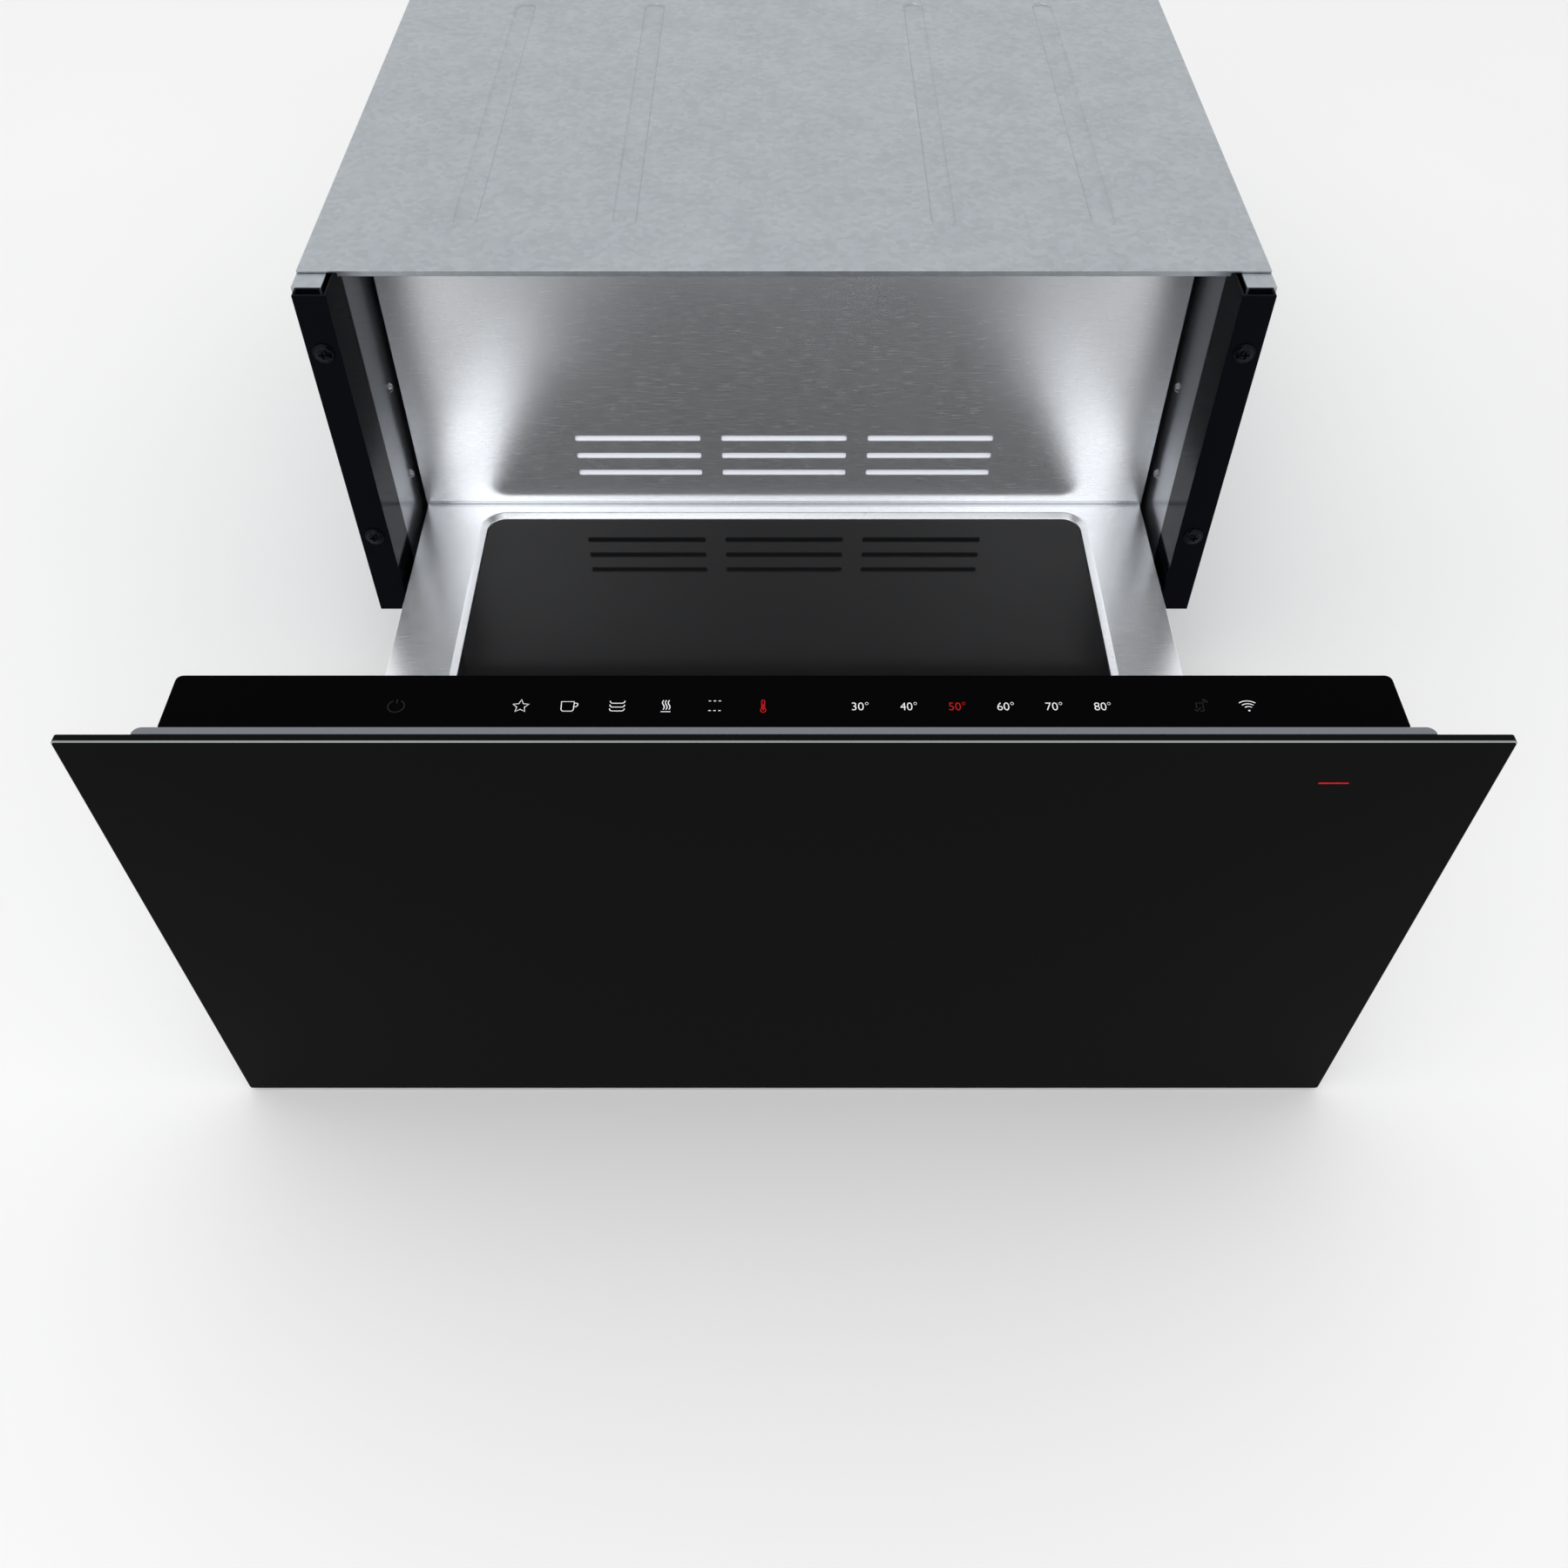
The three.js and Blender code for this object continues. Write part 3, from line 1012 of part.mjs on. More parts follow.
function underPan() {
  const lip = FLOOR - LINER - 1.5;
  const section = [
    [-lip, PAN_TOP - LINER], [-PAN, PAN_TOP - LINER], [-PAN, PAN_FOOT], [PAN, PAN_FOOT],
    [PAN, PAN_TOP - LINER], [lip, PAN_TOP - LINER]];
  const body = prism(folded(section, LINER), 'y', FLOOR_FRONT_Y, FLOOR_BACK_Y);
  const ends = [[FLOOR_FRONT_Y, FLOOR_FRONT_Y + LINER], [FLOOR_BACK_Y - LINER, FLOOR_BACK_Y]].map(
    (y) => block([-PAN, PAN], y, [PAN_FOOT, PAN_TOP]));
  return join(body, ends);
}

function floorInsulation() {
  const inset = LINER + BRACKET + 2 * FIT;
  return block(
    [-PAN + inset, PAN - inset],
    [FLOOR_FRONT_Y + LINER + BRACKET + 2 * FIT, FLOOR_BACK_Y - LINER - FIT],
    [PAN_FOOT + LINER + FIT, INSULATION_TOP]);
}

function frontBracket(side) {
  const outer = side * (PAN - LINER - FIT);
  const front = FLOOR_FRONT_Y + LINER + FIT;
  const z = [PAN_FOOT + LINER + FIT, PAN_FOOT + BRACKET_HEIGHT];
  const plan = folded(
    [[outer, front + BRACKET_LEG], [outer, front], [outer - side * BRACKET_FLANGE, front]],
    side * -BRACKET);
  return prism(plan, 'z', ...z);
}

function drawerRearWall() {
  const back = REAR_WALL_Y + LINER;
  const top = CEILING_BOTTOM - REAR_WALL_TOP_GAP;
  const shoulder = LEDGE_TOP + 2;
  const tab = PAN - 3;
  const outline = polygon([
    [-tab, PAN_FOOT + 2], [tab, PAN_FOOT + 2], [tab, shoulder], [REAR_WALL, shoulder],
    [REAR_WALL, top], [-REAR_WALL, top], [-REAR_WALL, shoulder], [-tab, shoulder]]);
  outline.holes.push(...airSlots());
  const sheet = prism(outline, 'y', REAR_WALL_Y, back, 2);
  const folds = SIDES.map(([, side]) => block(
    [side * REAR_WALL, side * (REAR_WALL - LINER)], [REAR_WALL_Y, REAR_WALL_Y + REAR_WALL_FOLD],
    [shoulder + 4, top]));
  const hem = block(
    [-REAR_WALL, REAR_WALL], [REAR_WALL_Y, REAR_WALL_Y + REAR_WALL_FOLD], [top - LINER, top]);
  const lips = eachSlot((x, z) => {
    const foot = z - SLOT_HEIGHT / 2 - LINER;
    const line = [[back - LINER / 2, foot], [back, foot], [back + SLOT_LIP, foot + SLOT_LIP]];
    return prism(folded(line, LINER), 'x', x - SLOT_LENGTH / 2, x + SLOT_LENGTH / 2);
  });
  return join(sheet, folds, hem, lips);
}

// ---- Assembly -----------------------------------------------------------------------------------

piece(housing, 'base_pan', GALVANISED, basePan());
piece(housing, 'top_cover', GALVANISED, topCover());
piece(housing, 'rear_panel', GALVANISED, rearPanel());
piece(housing, 'cavity_ceiling', POLISHED, cavityCeiling());
piece(housing, 'air_guide_panel', GALVANISED, airGuidePanel());
piece(housing, 'fan_housing', GALVANISED, fanHousing());
piece(housing, 'ring_heater', ELEMENT_STEEL, ringHeater());
piece(housing, 'fan_motor', GREY_PAINT, fanMotor());
piece(housing, 'fan_wheel', BEARING_STEEL, fanWheel());
piece(housing, 'motor_shaft', BEARING_STEEL, motorShaft());
piece(housing, 'temperature_sensor', BEARING_STEEL, temperatureSensor());
piece(housing, 'power_module', BLACK_PLASTIC, powerModule());
piece(housing, 'mains_inlet', BLACK_PLASTIC, mainsInlet());

for (const [word, side] of SIDES) {
  piece(housing, `${word}_side_panel`, GALVANISED, sidePanel(side));
  piece(housing, `${word}_front_frame`, BLACK_PAINT, frontFrame(side));
  piece(housing, `${word}_inner_wall`, POLISHED, innerWall(side));
  piece(housing, `${word}_latch_body`, BLACK_PLASTIC, latchBody(side));
  piece(housing, `${word}_latch_plunger`, PALE_PLASTIC, latchPlunger(side));
  piece(housing, `${word}_outer_rail`, BEARING_STEEL, outerRail(side));
  piece(housing, `${word}_lower_frame_screw`, SCREW_STEEL, frameScrew(side, SCREW_HEIGHTS[0]));
  piece(housing, `${word}_upper_frame_screw`, SCREW_STEEL, frameScrew(side, SCREW_HEIGHTS[1]));
  piece(outerCages, `${word}_outer_ball_cage`, BEARING_STEEL, outerCage(side));
  piece(middleRails, `${word}_middle_rail`, BEARING_STEEL, middleRail(side));
  piece(innerCages, `${word}_inner_ball_cage`, BEARING_STEEL, innerCage(side));
  piece(drawer, `${word}_inner_rail`, BEARING_STEEL, innerRail(side));
  piece(drawer, `${word}_front_bracket`, GALVANISED, frontBracket(side));
}

piece(drawer, 'front_glass', BLACK_GLASS, frontGlass());
piece(drawer, 'front_carrier', GREY_PAINT, frontCarrier());
piece(drawer, 'status_light_guide', RED_LENS, statusLightGuide());
piece(drawer, 'front_inner_panel', STAINLESS, frontInnerPanel());
piece(drawer, 'front_insulation', MINERAL_WOOL, frontInsulation());
piece(drawer, 'control_housing', BLACK_PLASTIC, controlHousing());
piece(drawer, 'control_glass', BLACK_GLASS, controlGlass());
piece(drawer, 'control_board', BOARD_GREEN, controlBoard());
piece(drawer, 'drawer_floor', STAINLESS, drawerFloor());
piece(drawer, 'heat_plate', PLATE_GLASS, heatPlate());
piece(drawer, 'heating_element', ELEMENT_STEEL, heatingElement());
piece(drawer, 'floor_insulation', MINERAL_WOOL, floorInsulation());
piece(drawer, 'under_pan', GALVANISED, underPan());
piece(drawer, 'drawer_rear_wall', STAINLESS, drawerRearWall());

export default drawerUnit;
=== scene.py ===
"""A built-in warming drawer with a glass front, dressed for its photograph.

The add-on takes the construction model, refines or rebuilds the pieces that show, adds the lit
symbols, gives every piece the finish of the real appliance and sets up a plain white stage.
Lengths are metres where a name doesn't end in mm. +X points to the right as seen from the front,
+Y into the cabinet and +Z up.
"""

import json
import math

import bmesh
import bpy
from mathutils import Matrix, Vector

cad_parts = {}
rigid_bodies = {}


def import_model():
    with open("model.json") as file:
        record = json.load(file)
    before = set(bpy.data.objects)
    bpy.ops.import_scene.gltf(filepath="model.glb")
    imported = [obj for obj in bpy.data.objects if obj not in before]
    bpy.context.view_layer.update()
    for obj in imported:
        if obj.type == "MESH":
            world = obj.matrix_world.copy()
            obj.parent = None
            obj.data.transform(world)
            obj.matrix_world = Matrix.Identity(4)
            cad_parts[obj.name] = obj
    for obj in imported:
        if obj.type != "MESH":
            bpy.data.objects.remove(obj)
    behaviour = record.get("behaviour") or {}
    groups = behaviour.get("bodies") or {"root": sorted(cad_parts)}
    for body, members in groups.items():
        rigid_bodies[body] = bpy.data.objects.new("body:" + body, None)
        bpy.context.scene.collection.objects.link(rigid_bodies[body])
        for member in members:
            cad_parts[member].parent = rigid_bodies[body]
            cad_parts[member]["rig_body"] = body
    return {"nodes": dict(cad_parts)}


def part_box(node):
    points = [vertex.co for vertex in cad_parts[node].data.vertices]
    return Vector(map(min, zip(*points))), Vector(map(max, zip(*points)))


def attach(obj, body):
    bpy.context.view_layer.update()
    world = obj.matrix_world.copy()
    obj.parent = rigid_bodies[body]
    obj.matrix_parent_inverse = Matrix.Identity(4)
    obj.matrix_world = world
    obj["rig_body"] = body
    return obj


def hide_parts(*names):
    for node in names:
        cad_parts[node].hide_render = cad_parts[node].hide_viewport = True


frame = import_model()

bl_info = {
    "name": "Warming drawer",
    "version": (1, 0, 0),
    "blender": (4, 5, 0),
    "location": "3D View > Sidebar > Drawer",
    "description": "Dresses a built-in warming drawer and sets up its stage",
    "category": "Object",
}

MM = 0.001
NODES = frame["nodes"]
SIDES = ("left", "right")
DOUBLE = 0.002 * MM          # points closer than this are one point
TOUCH = 0.01 * MM            # points closer than this to a plane lie in it
FLAT = math.radians(0.5)     # faces that meet at less than this are one flat face
CREASE = 40                  # an edge is a crease if its faces meet at more degrees than this


# ---- Small helpers -------------------------------------------------------------------------------


def linear(code):
    """An sRGB hex colour as the linear red, green, blue and alpha that a shader takes."""
    shown = [int(code[i:i + 2], 16) / 255 for i in (1, 3, 5)]
    light = [c / 12.92 if c <= 0.04045 else ((c + 0.055) / 1.055) ** 2.4 for c in shown]
    return (*light, 1.0)


def node(tree, kind, inputs=None, **settings):
    """Adds a shader node. Each input takes a plain value or another node's output socket."""
    made = tree.nodes.new(kind)
    for name, value in settings.items():
        setattr(made, name, value)
    for name, value in (inputs or {}).items():
        if isinstance(value, bpy.types.NodeSocket):
            tree.links.new(value, made.inputs[name])
        else:
            made.inputs[name].default_value = value
    return made


def noise(tree, size_mm, detail=2.0, roughness=0.5):
    """Noise whose blotches measure size_mm along X, Y and Z, wherever the piece stands."""
    place = node(tree, "ShaderNodeTexCoord")
    scaled = node(tree, "ShaderNodeMapping", {
        "Vector": place.outputs["Object"],
        "Scale": [1 / (size * MM) for size in size_mm],
    })
    made = node(tree, "ShaderNodeTexNoise", {
        "Vector": scaled.outputs["Vector"], "Scale": 1.0, "Detail": detail, "Roughness": roughness,
    })
    return made.outputs["Fac"]


def flakes(tree, size_mm):
    """Flat cells of about size_mm, each with its own shade."""
    place = node(tree, "ShaderNodeTexCoord")
    cells = node(tree, "ShaderNodeTexVoronoi", {
        "Vector": place.outputs["Object"], "Scale": 1 / (size_mm * MM),
    })
    shade = node(tree, "ShaderNodeSeparateColor", {"Color": cells.outputs["Color"]})
    return shade.outputs["Red"]


def between(tree, value, low, high, start=0.3, end=0.7):
    """Stretches a texture's value from start..end to low..high."""
    made = node(tree, "ShaderNodeMapRange", {
        "Value": value, "From Min": start, "From Max": end, "To Min": low, "To Max": high,
    }, interpolation_type="SMOOTHSTEP")
    return made.outputs["Result"]


def shaded(tree, value, dark, light, start=0.3, end=0.7):
    """Turns a texture's value into a colour between two."""
    ramp = node(tree, "ShaderNodeValToRGB", {"Fac": value})
    first, last = ramp.color_ramp.elements
    first.position = start
    first.color = dark
    last.position = end
    last.color = light
    return ramp.outputs["Color"]


def bump(tree, value, height_mm, strength=1.0):
    """The surface normal of a relief that is height_mm high."""
    return node(tree, "ShaderNodeBump", {
        "Height": value, "Distance": height_mm * MM, "Strength": strength,
    }).outputs["Normal"]


def scaled_colour(colour, factor):
    """A colour made darker or lighter by one factor."""
    return (*(min(c * factor, 1.0) for c in colour[:3]), 1.0)


def material(name, settings, build=None):
    """A new material: plain shader settings first, then what build links to the shader."""
    made = bpy.data.materials.new(name)
    made.use_nodes = True
    tree = made.node_tree
    tree.nodes.clear()
    shader = node(tree, "ShaderNodeBsdfPrincipled", settings)
    node(tree, "ShaderNodeOutputMaterial", {"Surface": shader.outputs["BSDF"]})
    if build:
        for socket, value in build(tree).items():
            tree.links.new(value, shader.inputs[socket])
    return made


# ---- What a user can set -------------------------------------------------------------------------


def length(name, description, default_mm):
    """A size in the sidebar, given here in millimetres."""
    return bpy.props.FloatProperty(
        name=name, description=description, default=default_mm * MM, min=0.0,
        unit="LENGTH", subtype="DISTANCE", precision=5)


def colour(name, description, code):
    """A colour in the sidebar, given here as sRGB hex."""
    return bpy.props.FloatVectorProperty(
        name=name, description=description, default=linear(code), size=4, min=0.0, max=1.0,
        subtype="COLOR")


class DrawerSizes(bpy.types.PropertyGroup):
    """Sizes of what the add-on models itself."""

    chamfer: length("Glass chamfer", "Ground edge along the front glass", 0.6)
    glass_corner: length("Glass corner", "Radius of the front glass's corners", 2.0)
    sheet_edge: length("Sheet edge", "Rounding of cut sheet edges", 0.2)
    floor_edge: length("Floor edge", "Rounding of the drawer floor's edges", 0.45)
    moulded_edge: length("Moulded edge", "Rounding of plastic and glass edges", 0.35)
    screw_edge: length("Screw edge", "Rounding of the frame screws' edges", 0.15)
    plate_corner: length("Plate corner", "Radius of the heating plate's corners", 12.0)
    plate_edge: length("Plate edge", "Rounding of the heating plate's upper edge", 0.6)
    slot_length: length("Slot length", "Length of an air slot in the rear wall", 85.4)
    slot_height: length("Slot height", "Height of an air slot in the rear wall", 4.5)
    slot_columns: length("Slot columns", "Distance between two columns of air slots", 99.7)
    slot_rows: length("Slot rows", "Distance between two rows of air slots", 14.2)
    lowest_slots: length("Lowest slots", "Middle of the lowest row above the floor", 27.4)
    wall_sheet: length("Rear wall sheet", "Thickness of the drawer's rear wall", 1.0)
    slant_length: length("Slant", "Length of the slant behind a slot's lower edge", 3.2)
    slant_sheet: length("Slant sheet", "Thickness of the slant", 0.15)
    slant_overlap: length("Slant overlap", "Slant past each end of its slot", 1.0)
    seam: length("Seam", "Height of the seam between floor and rear wall", 2.4)
    seam_depth: length("Seam depth", "Seam in front of the rear wall", 0.3)
    seam_inset: length("Seam inset", "Seam's ends inside the floor's sides", 1.0)
    print_height: length("Print thickness", "Thickness of a lit symbol on the strip", 0.04)
    stroke: length("Stroke", "Line width of the symbols", 0.4)
    digits: length("Digits", "Height of the temperature figures", 4.6)
    symbol_pitch: length("Symbol pitch", "Distance between two keys of the strip", 20.02)
    symbol_row: length("Symbol row", "Line of the symbols behind the glass's face", 19.85)
    light_length: length("Status light", "Length of the light line on the front", 12.8)
    light_height: length("Light height", "Height of the light line on the front", 0.85)


class DrawerColours(bpy.types.PropertyGroup):
    """Colours of the finishes."""

    black_glass: colour("Black glass", "Front panel", "#101011")
    strip_glass: colour("Strip glass", "Glass of the control strip", "#030304")
    # Partly the ground edge's own tone, partly a painted highlight along the chamfer.
    glass_edge: colour("Glass edge", "Ground edge of the front glass", "#858b87")
    plate_glass: colour("Heating plate", "Satin black glass plate", "#19191a")
    steel: colour("Brushed steel", "Drawer floor, rear wall and inner front", "#f3f5f8")
    # Darker than the brushed steel: painted shade of the joint line at the wall's foot.
    seam: colour("Seam", "Seam between floor and rear wall", "#c4c7cb")
    slant: colour("Slants", "Slants in the rear wall's slots", "#eceff8")
    polished: colour("Polished steel", "Walls of the cavity", "#94979c")
    galvanised: colour("Galvanised steel", "Housing", "#aeb4b9")
    grey_paint: colour("Grey paint", "Carrier behind the front glass", "#6b6e75")
    black_paint: colour("Black paint", "Uprights of the front frame", "#0a0b10")
    black_plastic: colour("Black plastic", "Troughs, latches and module", "#17181a")
    pale_plastic: colour("Pale plastic", "Latch plungers", "#d8dadb")
    white_light: colour("White light", "Lit symbols", "#e9eaec")
    # Symbols that are not lit still glow faintly in this colour: painted glow.
    dim_light: colour("Dim light", "Symbols that are not lit", "#3f4042")
    red_light: colour("Red light", "Chosen symbols and the status light", "#c4161c")
    board: colour("Circuit board", "Touch board of the strip", "#1f5b3a")
    wool: colour("Mineral wool", "Insulation", "#c9bf95")
    element: colour("Heater sheath", "Heating element and ring heater", "#6a5f58")
    screw: colour("Dark screws", "Screws of the front frame", "#1b1c21")
    bearing: colour("Bearing steel", "Runners, fan and shaft", "#d4d6d8")
    floor: colour("Stage floor", "Floor that the drawer stands on", "#f2f2f2")


# ---- Finishes ------------------------------------------------------------------------------------


def steel_brushed_across(name, tint):
    """Stainless sheet brushed along X, so that lights smear at right angles to the grain."""
    def build(tree):
        # Scratches 11 mm long. Real ones are finer than a pixel, so these are drawn 1 mm wide.
        grain = noise(tree, (11, 1.0, 1.0), detail=2.0, roughness=0.5)
        clouds = noise(tree, (90, 70, 70), detail=1.0)          # unevenness of the sheet
        tangent = node(tree, "ShaderNodeTangent", direction_type="RADIAL", axis="Z")
        return {
            "Base Color": shaded(tree, grain, tint, scaled_colour(tint, 0.97)),
            "Metallic": between(tree, grain, 0.735, 0.815),     # scratches scatter light
            "Roughness": between(tree, clouds, 0.235, 0.265),
            "Tangent": tangent.outputs["Tangent"],
        }
    return material(name, {"Anisotropic": 0.6}, build)


def polished_steel(name, tint):
    """Bright cavity sheet, finely brushed along its depth, so that mirrored shapes blur."""
    def build(tree):
        # Polishing lines 80 mm long. Real ones are finer, so these are drawn 1.2 mm wide.
        rolling = noise(tree, (1.2, 80, 1.2), detail=2.0)
        clouds = noise(tree, (70, 90, 60), detail=0.0)          # unevenness of the sheet
        tangent = node(tree, "ShaderNodeTangent", direction_type="RADIAL", axis="Z")
        return {
            "Base Color": shaded(tree, rolling, scaled_colour(tint, 0.95), tint),
            "Roughness": between(tree, clouds, 0.22, 0.25),
            "Tangent": tangent.outputs["Tangent"],
        }
    return material(name, {"Metallic": 0.82, "Anisotropic": 0.6}, build)


def galvanised_sheet(name, tint):
    """Zinc-coated sheet with its dull grey spangle."""
    def build(tree):
        spangle = flakes(tree, 4.0)                             # zinc crystals
        dull = noise(tree, (40, 40, 40))                        # oxidised patches
        return {
            "Base Color": shaded(tree, spangle, scaled_colour(tint, 0.88), tint, 0.0, 1.0),
            "Roughness": between(tree, dull, 0.38, 0.5),
        }
    return material(name, {"Metallic": 0.9}, build)


def dark_glass(name, tint, refraction):
    """Coated black glass that mirrors only faintly, as the photograph's does."""
    def build(tree):
        waves = noise(tree, (160, 160, 160), detail=0.0)        # slow unevenness of the coating
        return {"Roughness": between(tree, waves, 0.03, 0.05)}
    return material(name, {"Base Color": tint, "IOR": refraction}, build)


def ground_edge_painted_highlight(name, tint):
    """The ground and polished edge of the glass, pale in itself and as a painted highlight line."""
    def build(tree):
        # Marks of the grinding wheel, drawn a few times as coarse as real ones
        grinding = noise(tree, (0.4, 0.4, 0.4), detail=1.0)
        return {
            "Base Color": shaded(tree, grinding, scaled_colour(tint, 0.85), tint),
            "Roughness": between(tree, grinding, 0.2, 0.35),
        }
    return material(name, {"Specular IOR Level": 0.5}, build)


def satin_plate(name, tint):
    """Glass ceramic with a satin face that blurs what stands behind it a little."""
    def build(tree):
        # Etched grain, drawn a few times as coarse as the real one
        speckle = noise(tree, (0.6, 0.6, 0.6), detail=1.0)
        return {
            "Base Color": shaded(tree, speckle, scaled_colour(tint, 0.9), tint),
            "Roughness": between(tree, speckle, 0.03, 0.05),
        }
    return material(name, {"Specular IOR Level": 0.12}, build)


def painted_metal(name, tint, roughness, refraction):
    """Powder coat with its fine orange peel. A low refraction keeps its shine faint."""
    def build(tree):
        peel = noise(tree, (0.9, 0.9, 0.9), detail=1.0)         # dimples of the baked powder
        return {
            "Base Color": shaded(tree, peel, scaled_colour(tint, 0.93), tint),
            "Roughness": between(tree, peel, roughness - 0.04, roughness + 0.04),
            "Normal": bump(tree, peel, 0.02, 0.5),
        }
    return material(name, {"IOR": refraction}, build)


def moulded_plastic(name, tint, roughness):
    """Injection-moulded plastic with a fine spark-eroded texture."""
    def build(tree):
        # Pits of the mould's surface, drawn a few times as coarse as real ones
        texture = noise(tree, (0.5, 0.5, 0.5), detail=2.0)
        return {
            "Base Color": shaded(tree, texture, scaled_colour(tint, 0.9), tint),
            "Roughness": between(tree, texture, roughness - 0.06, roughness + 0.06),
            "Normal": bump(tree, texture, 0.02, 0.6),
        }
    return material(name, {"Specular IOR Level": 0.4}, build)


def lit_ink(name, tint, strength):
    """A symbol lit from below through the glass, a little uneven; unlit ones get a painted glow."""
    def build(tree):
        glow = noise(tree, (1.5, 1.5, 1.5), detail=0.0)         # patches of the diffuser
        return {"Emission Color": shaded(tree, glow, scaled_colour(tint, 0.85), tint)}
    settings = {
        "Base Color": (0.0, 0.0, 0.0, 1.0), "Emission Strength": strength, "Roughness": 0.5,
        "Specular IOR Level": 0.05,
    }
    return material(name, settings, build)


def bare_steel(name, tint, roughness):
    """Bright machined or rolled steel with faint drawing lines along Y."""
    def build(tree):
        # Drawing lines 50 mm long. Real ones are finer, so these are drawn 0.6 mm wide.
        lines = noise(tree, (0.6, 50, 0.6), detail=2.0)
        return {
            "Base Color": shaded(tree, lines, scaled_colour(tint, 0.85), tint),
            "Roughness": between(tree, lines, roughness - 0.05, roughness + 0.05),
        }
    return material(name, {"Metallic": 1.0}, build)


def fibre_mat(name, tint):
    """Mineral wool: matted fibres with a deep, soft relief."""
    def build(tree):
        fibres = noise(tree, (6, 6, 1.2), detail=6.0, roughness=0.7)    # flat flocks
        return {
            "Base Color": shaded(tree, fibres, scaled_colour(tint, 0.6), tint),
            "Normal": bump(tree, fibres, 1.0),
        }
    return material(name, {"Roughness": 0.95, "Specular IOR Level": 0.1}, build)


def circuit_board(name, tint):
    """Green board with the faint pattern of its copper under the lacquer."""
    def build(tree):
        copper = flakes(tree, 3.0)                              # fields of copper
        return {"Base Color": shaded(tree, copper, scaled_colour(tint, 0.75), tint, 0.45, 0.55)}
    return material(name, {"Roughness": 0.4}, build)


def all_finishes(tint):
    """All finishes by name, in the colours that are set."""
    return {
        "stainless": steel_brushed_across("brushed_stainless_steel", tuple(tint.steel)),
        "polished_steel": polished_steel("polished_stainless_steel", tuple(tint.polished)),
        "galvanised": galvanised_sheet("galvanised_steel", tuple(tint.galvanised)),
        "black_glass": dark_glass("black_float_glass", tuple(tint.black_glass), 1.06),
        "strip_glass": dark_glass("touch_strip_glass", tuple(tint.strip_glass), 1.05),
        "glass_edge": ground_edge_painted_highlight("ground_edge_painted_highlight", tuple(tint.glass_edge)),
        "plate_glass": satin_plate("satin_glass_ceramic", tuple(tint.plate_glass)),
        "grey_paint": painted_metal("grey_powder_coat", tuple(tint.grey_paint), 0.5, 1.4),
        "black_paint": painted_metal("black_powder_coat", tuple(tint.black_paint), 0.09, 1.08),
        "black_plastic": moulded_plastic("black_moulded_plastic", tuple(tint.black_plastic), 0.5),
        "pale_plastic": moulded_plastic("pale_moulded_plastic", tuple(tint.pale_plastic), 0.45),
        "red_lens": lit_ink("red_lit_lens", tuple(tint.red_light), 0.9),
        "white_ink": lit_ink("white_lit_symbol", tuple(tint.white_light), 1.3),
        # Unlit symbols: a faint painted glow shows them grey.
        "painted_glow_ink": lit_ink("unlit_symbol_painted_glow", tuple(tint.dim_light), 0.4),
        "red_ink": lit_ink("red_lit_symbol", tuple(tint.red_light), 1.1),
        "circuit_board": circuit_board("lacquered_circuit_board", tuple(tint.board)),
        "mineral_wool": fibre_mat("mineral_wool", tuple(tint.wool)),
        "element": bare_steel("annealed_heater_sheath", tuple(tint.element), 0.4),
        "dark_screw": bare_steel("blackened_screw_steel", tuple(tint.screw), 0.18),
        # The seam's darker grey is painted shade of the joint line.
        "seam": bare_steel("seam_steel_painted_shade", tuple(tint.seam), 0.2),
        "slant": bare_steel("matt_slant_steel", tuple(tint.slant), 0.5),
        "bearing_steel": bare_steel("bright_bearing_steel", tuple(tint.bearing), 0.22),
    }


FINISHES = {}        # filled by finish_named


def finish_named(name):
    """One finish by name. All of them are made when the first is asked for."""
    if not FINISHES:
        FINISHES.update(all_finishes(bpy.context.scene.drawer_colours))
    return FINISHES[name]


# ---- Making pieces -------------------------------------------------------------------------------


def settle(mesh, crease):
    """Merges doubled points, turns faces outwards and keeps edges over crease degrees sharp."""
    shape = bmesh.new()
    shape.from_mesh(mesh)
    bmesh.ops.remove_doubles(shape, verts=shape.verts, dist=DOUBLE)
    bmesh.ops.recalc_face_normals(shape, faces=shape.faces)
    shape.to_mesh(mesh)
    shape.free()
    mesh.shade_smooth()
    mesh.set_sharp_from_angle(angle=math.radians(crease))


def add_piece(name, mesh, body, slot, *finishes, crease=CREASE):
    """Puts a mesh in the scene as a piece that moves with a body, in the finishes named."""
    settle(mesh, crease)
    made = bpy.data.objects.new(name, mesh)
    bpy.context.scene.collection.objects.link(made)
    for one in finishes:
        mesh.materials.append(finish_named(one))
    even = made.modifiers.new("even_shading", "WEIGHTED_NORMAL")
    even.mode = "FACE_AREA"
    even.weight = 80         # over 50, large faces outweigh the narrow ones of a bevel
    even.keep_sharp = True
    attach(made, body)
    return made


def mesh_from(shape, name):
    """Ends a bmesh as a mesh."""
    mesh = bpy.data.meshes.new(name)
    shape.to_mesh(mesh)
    shape.free()
    return mesh


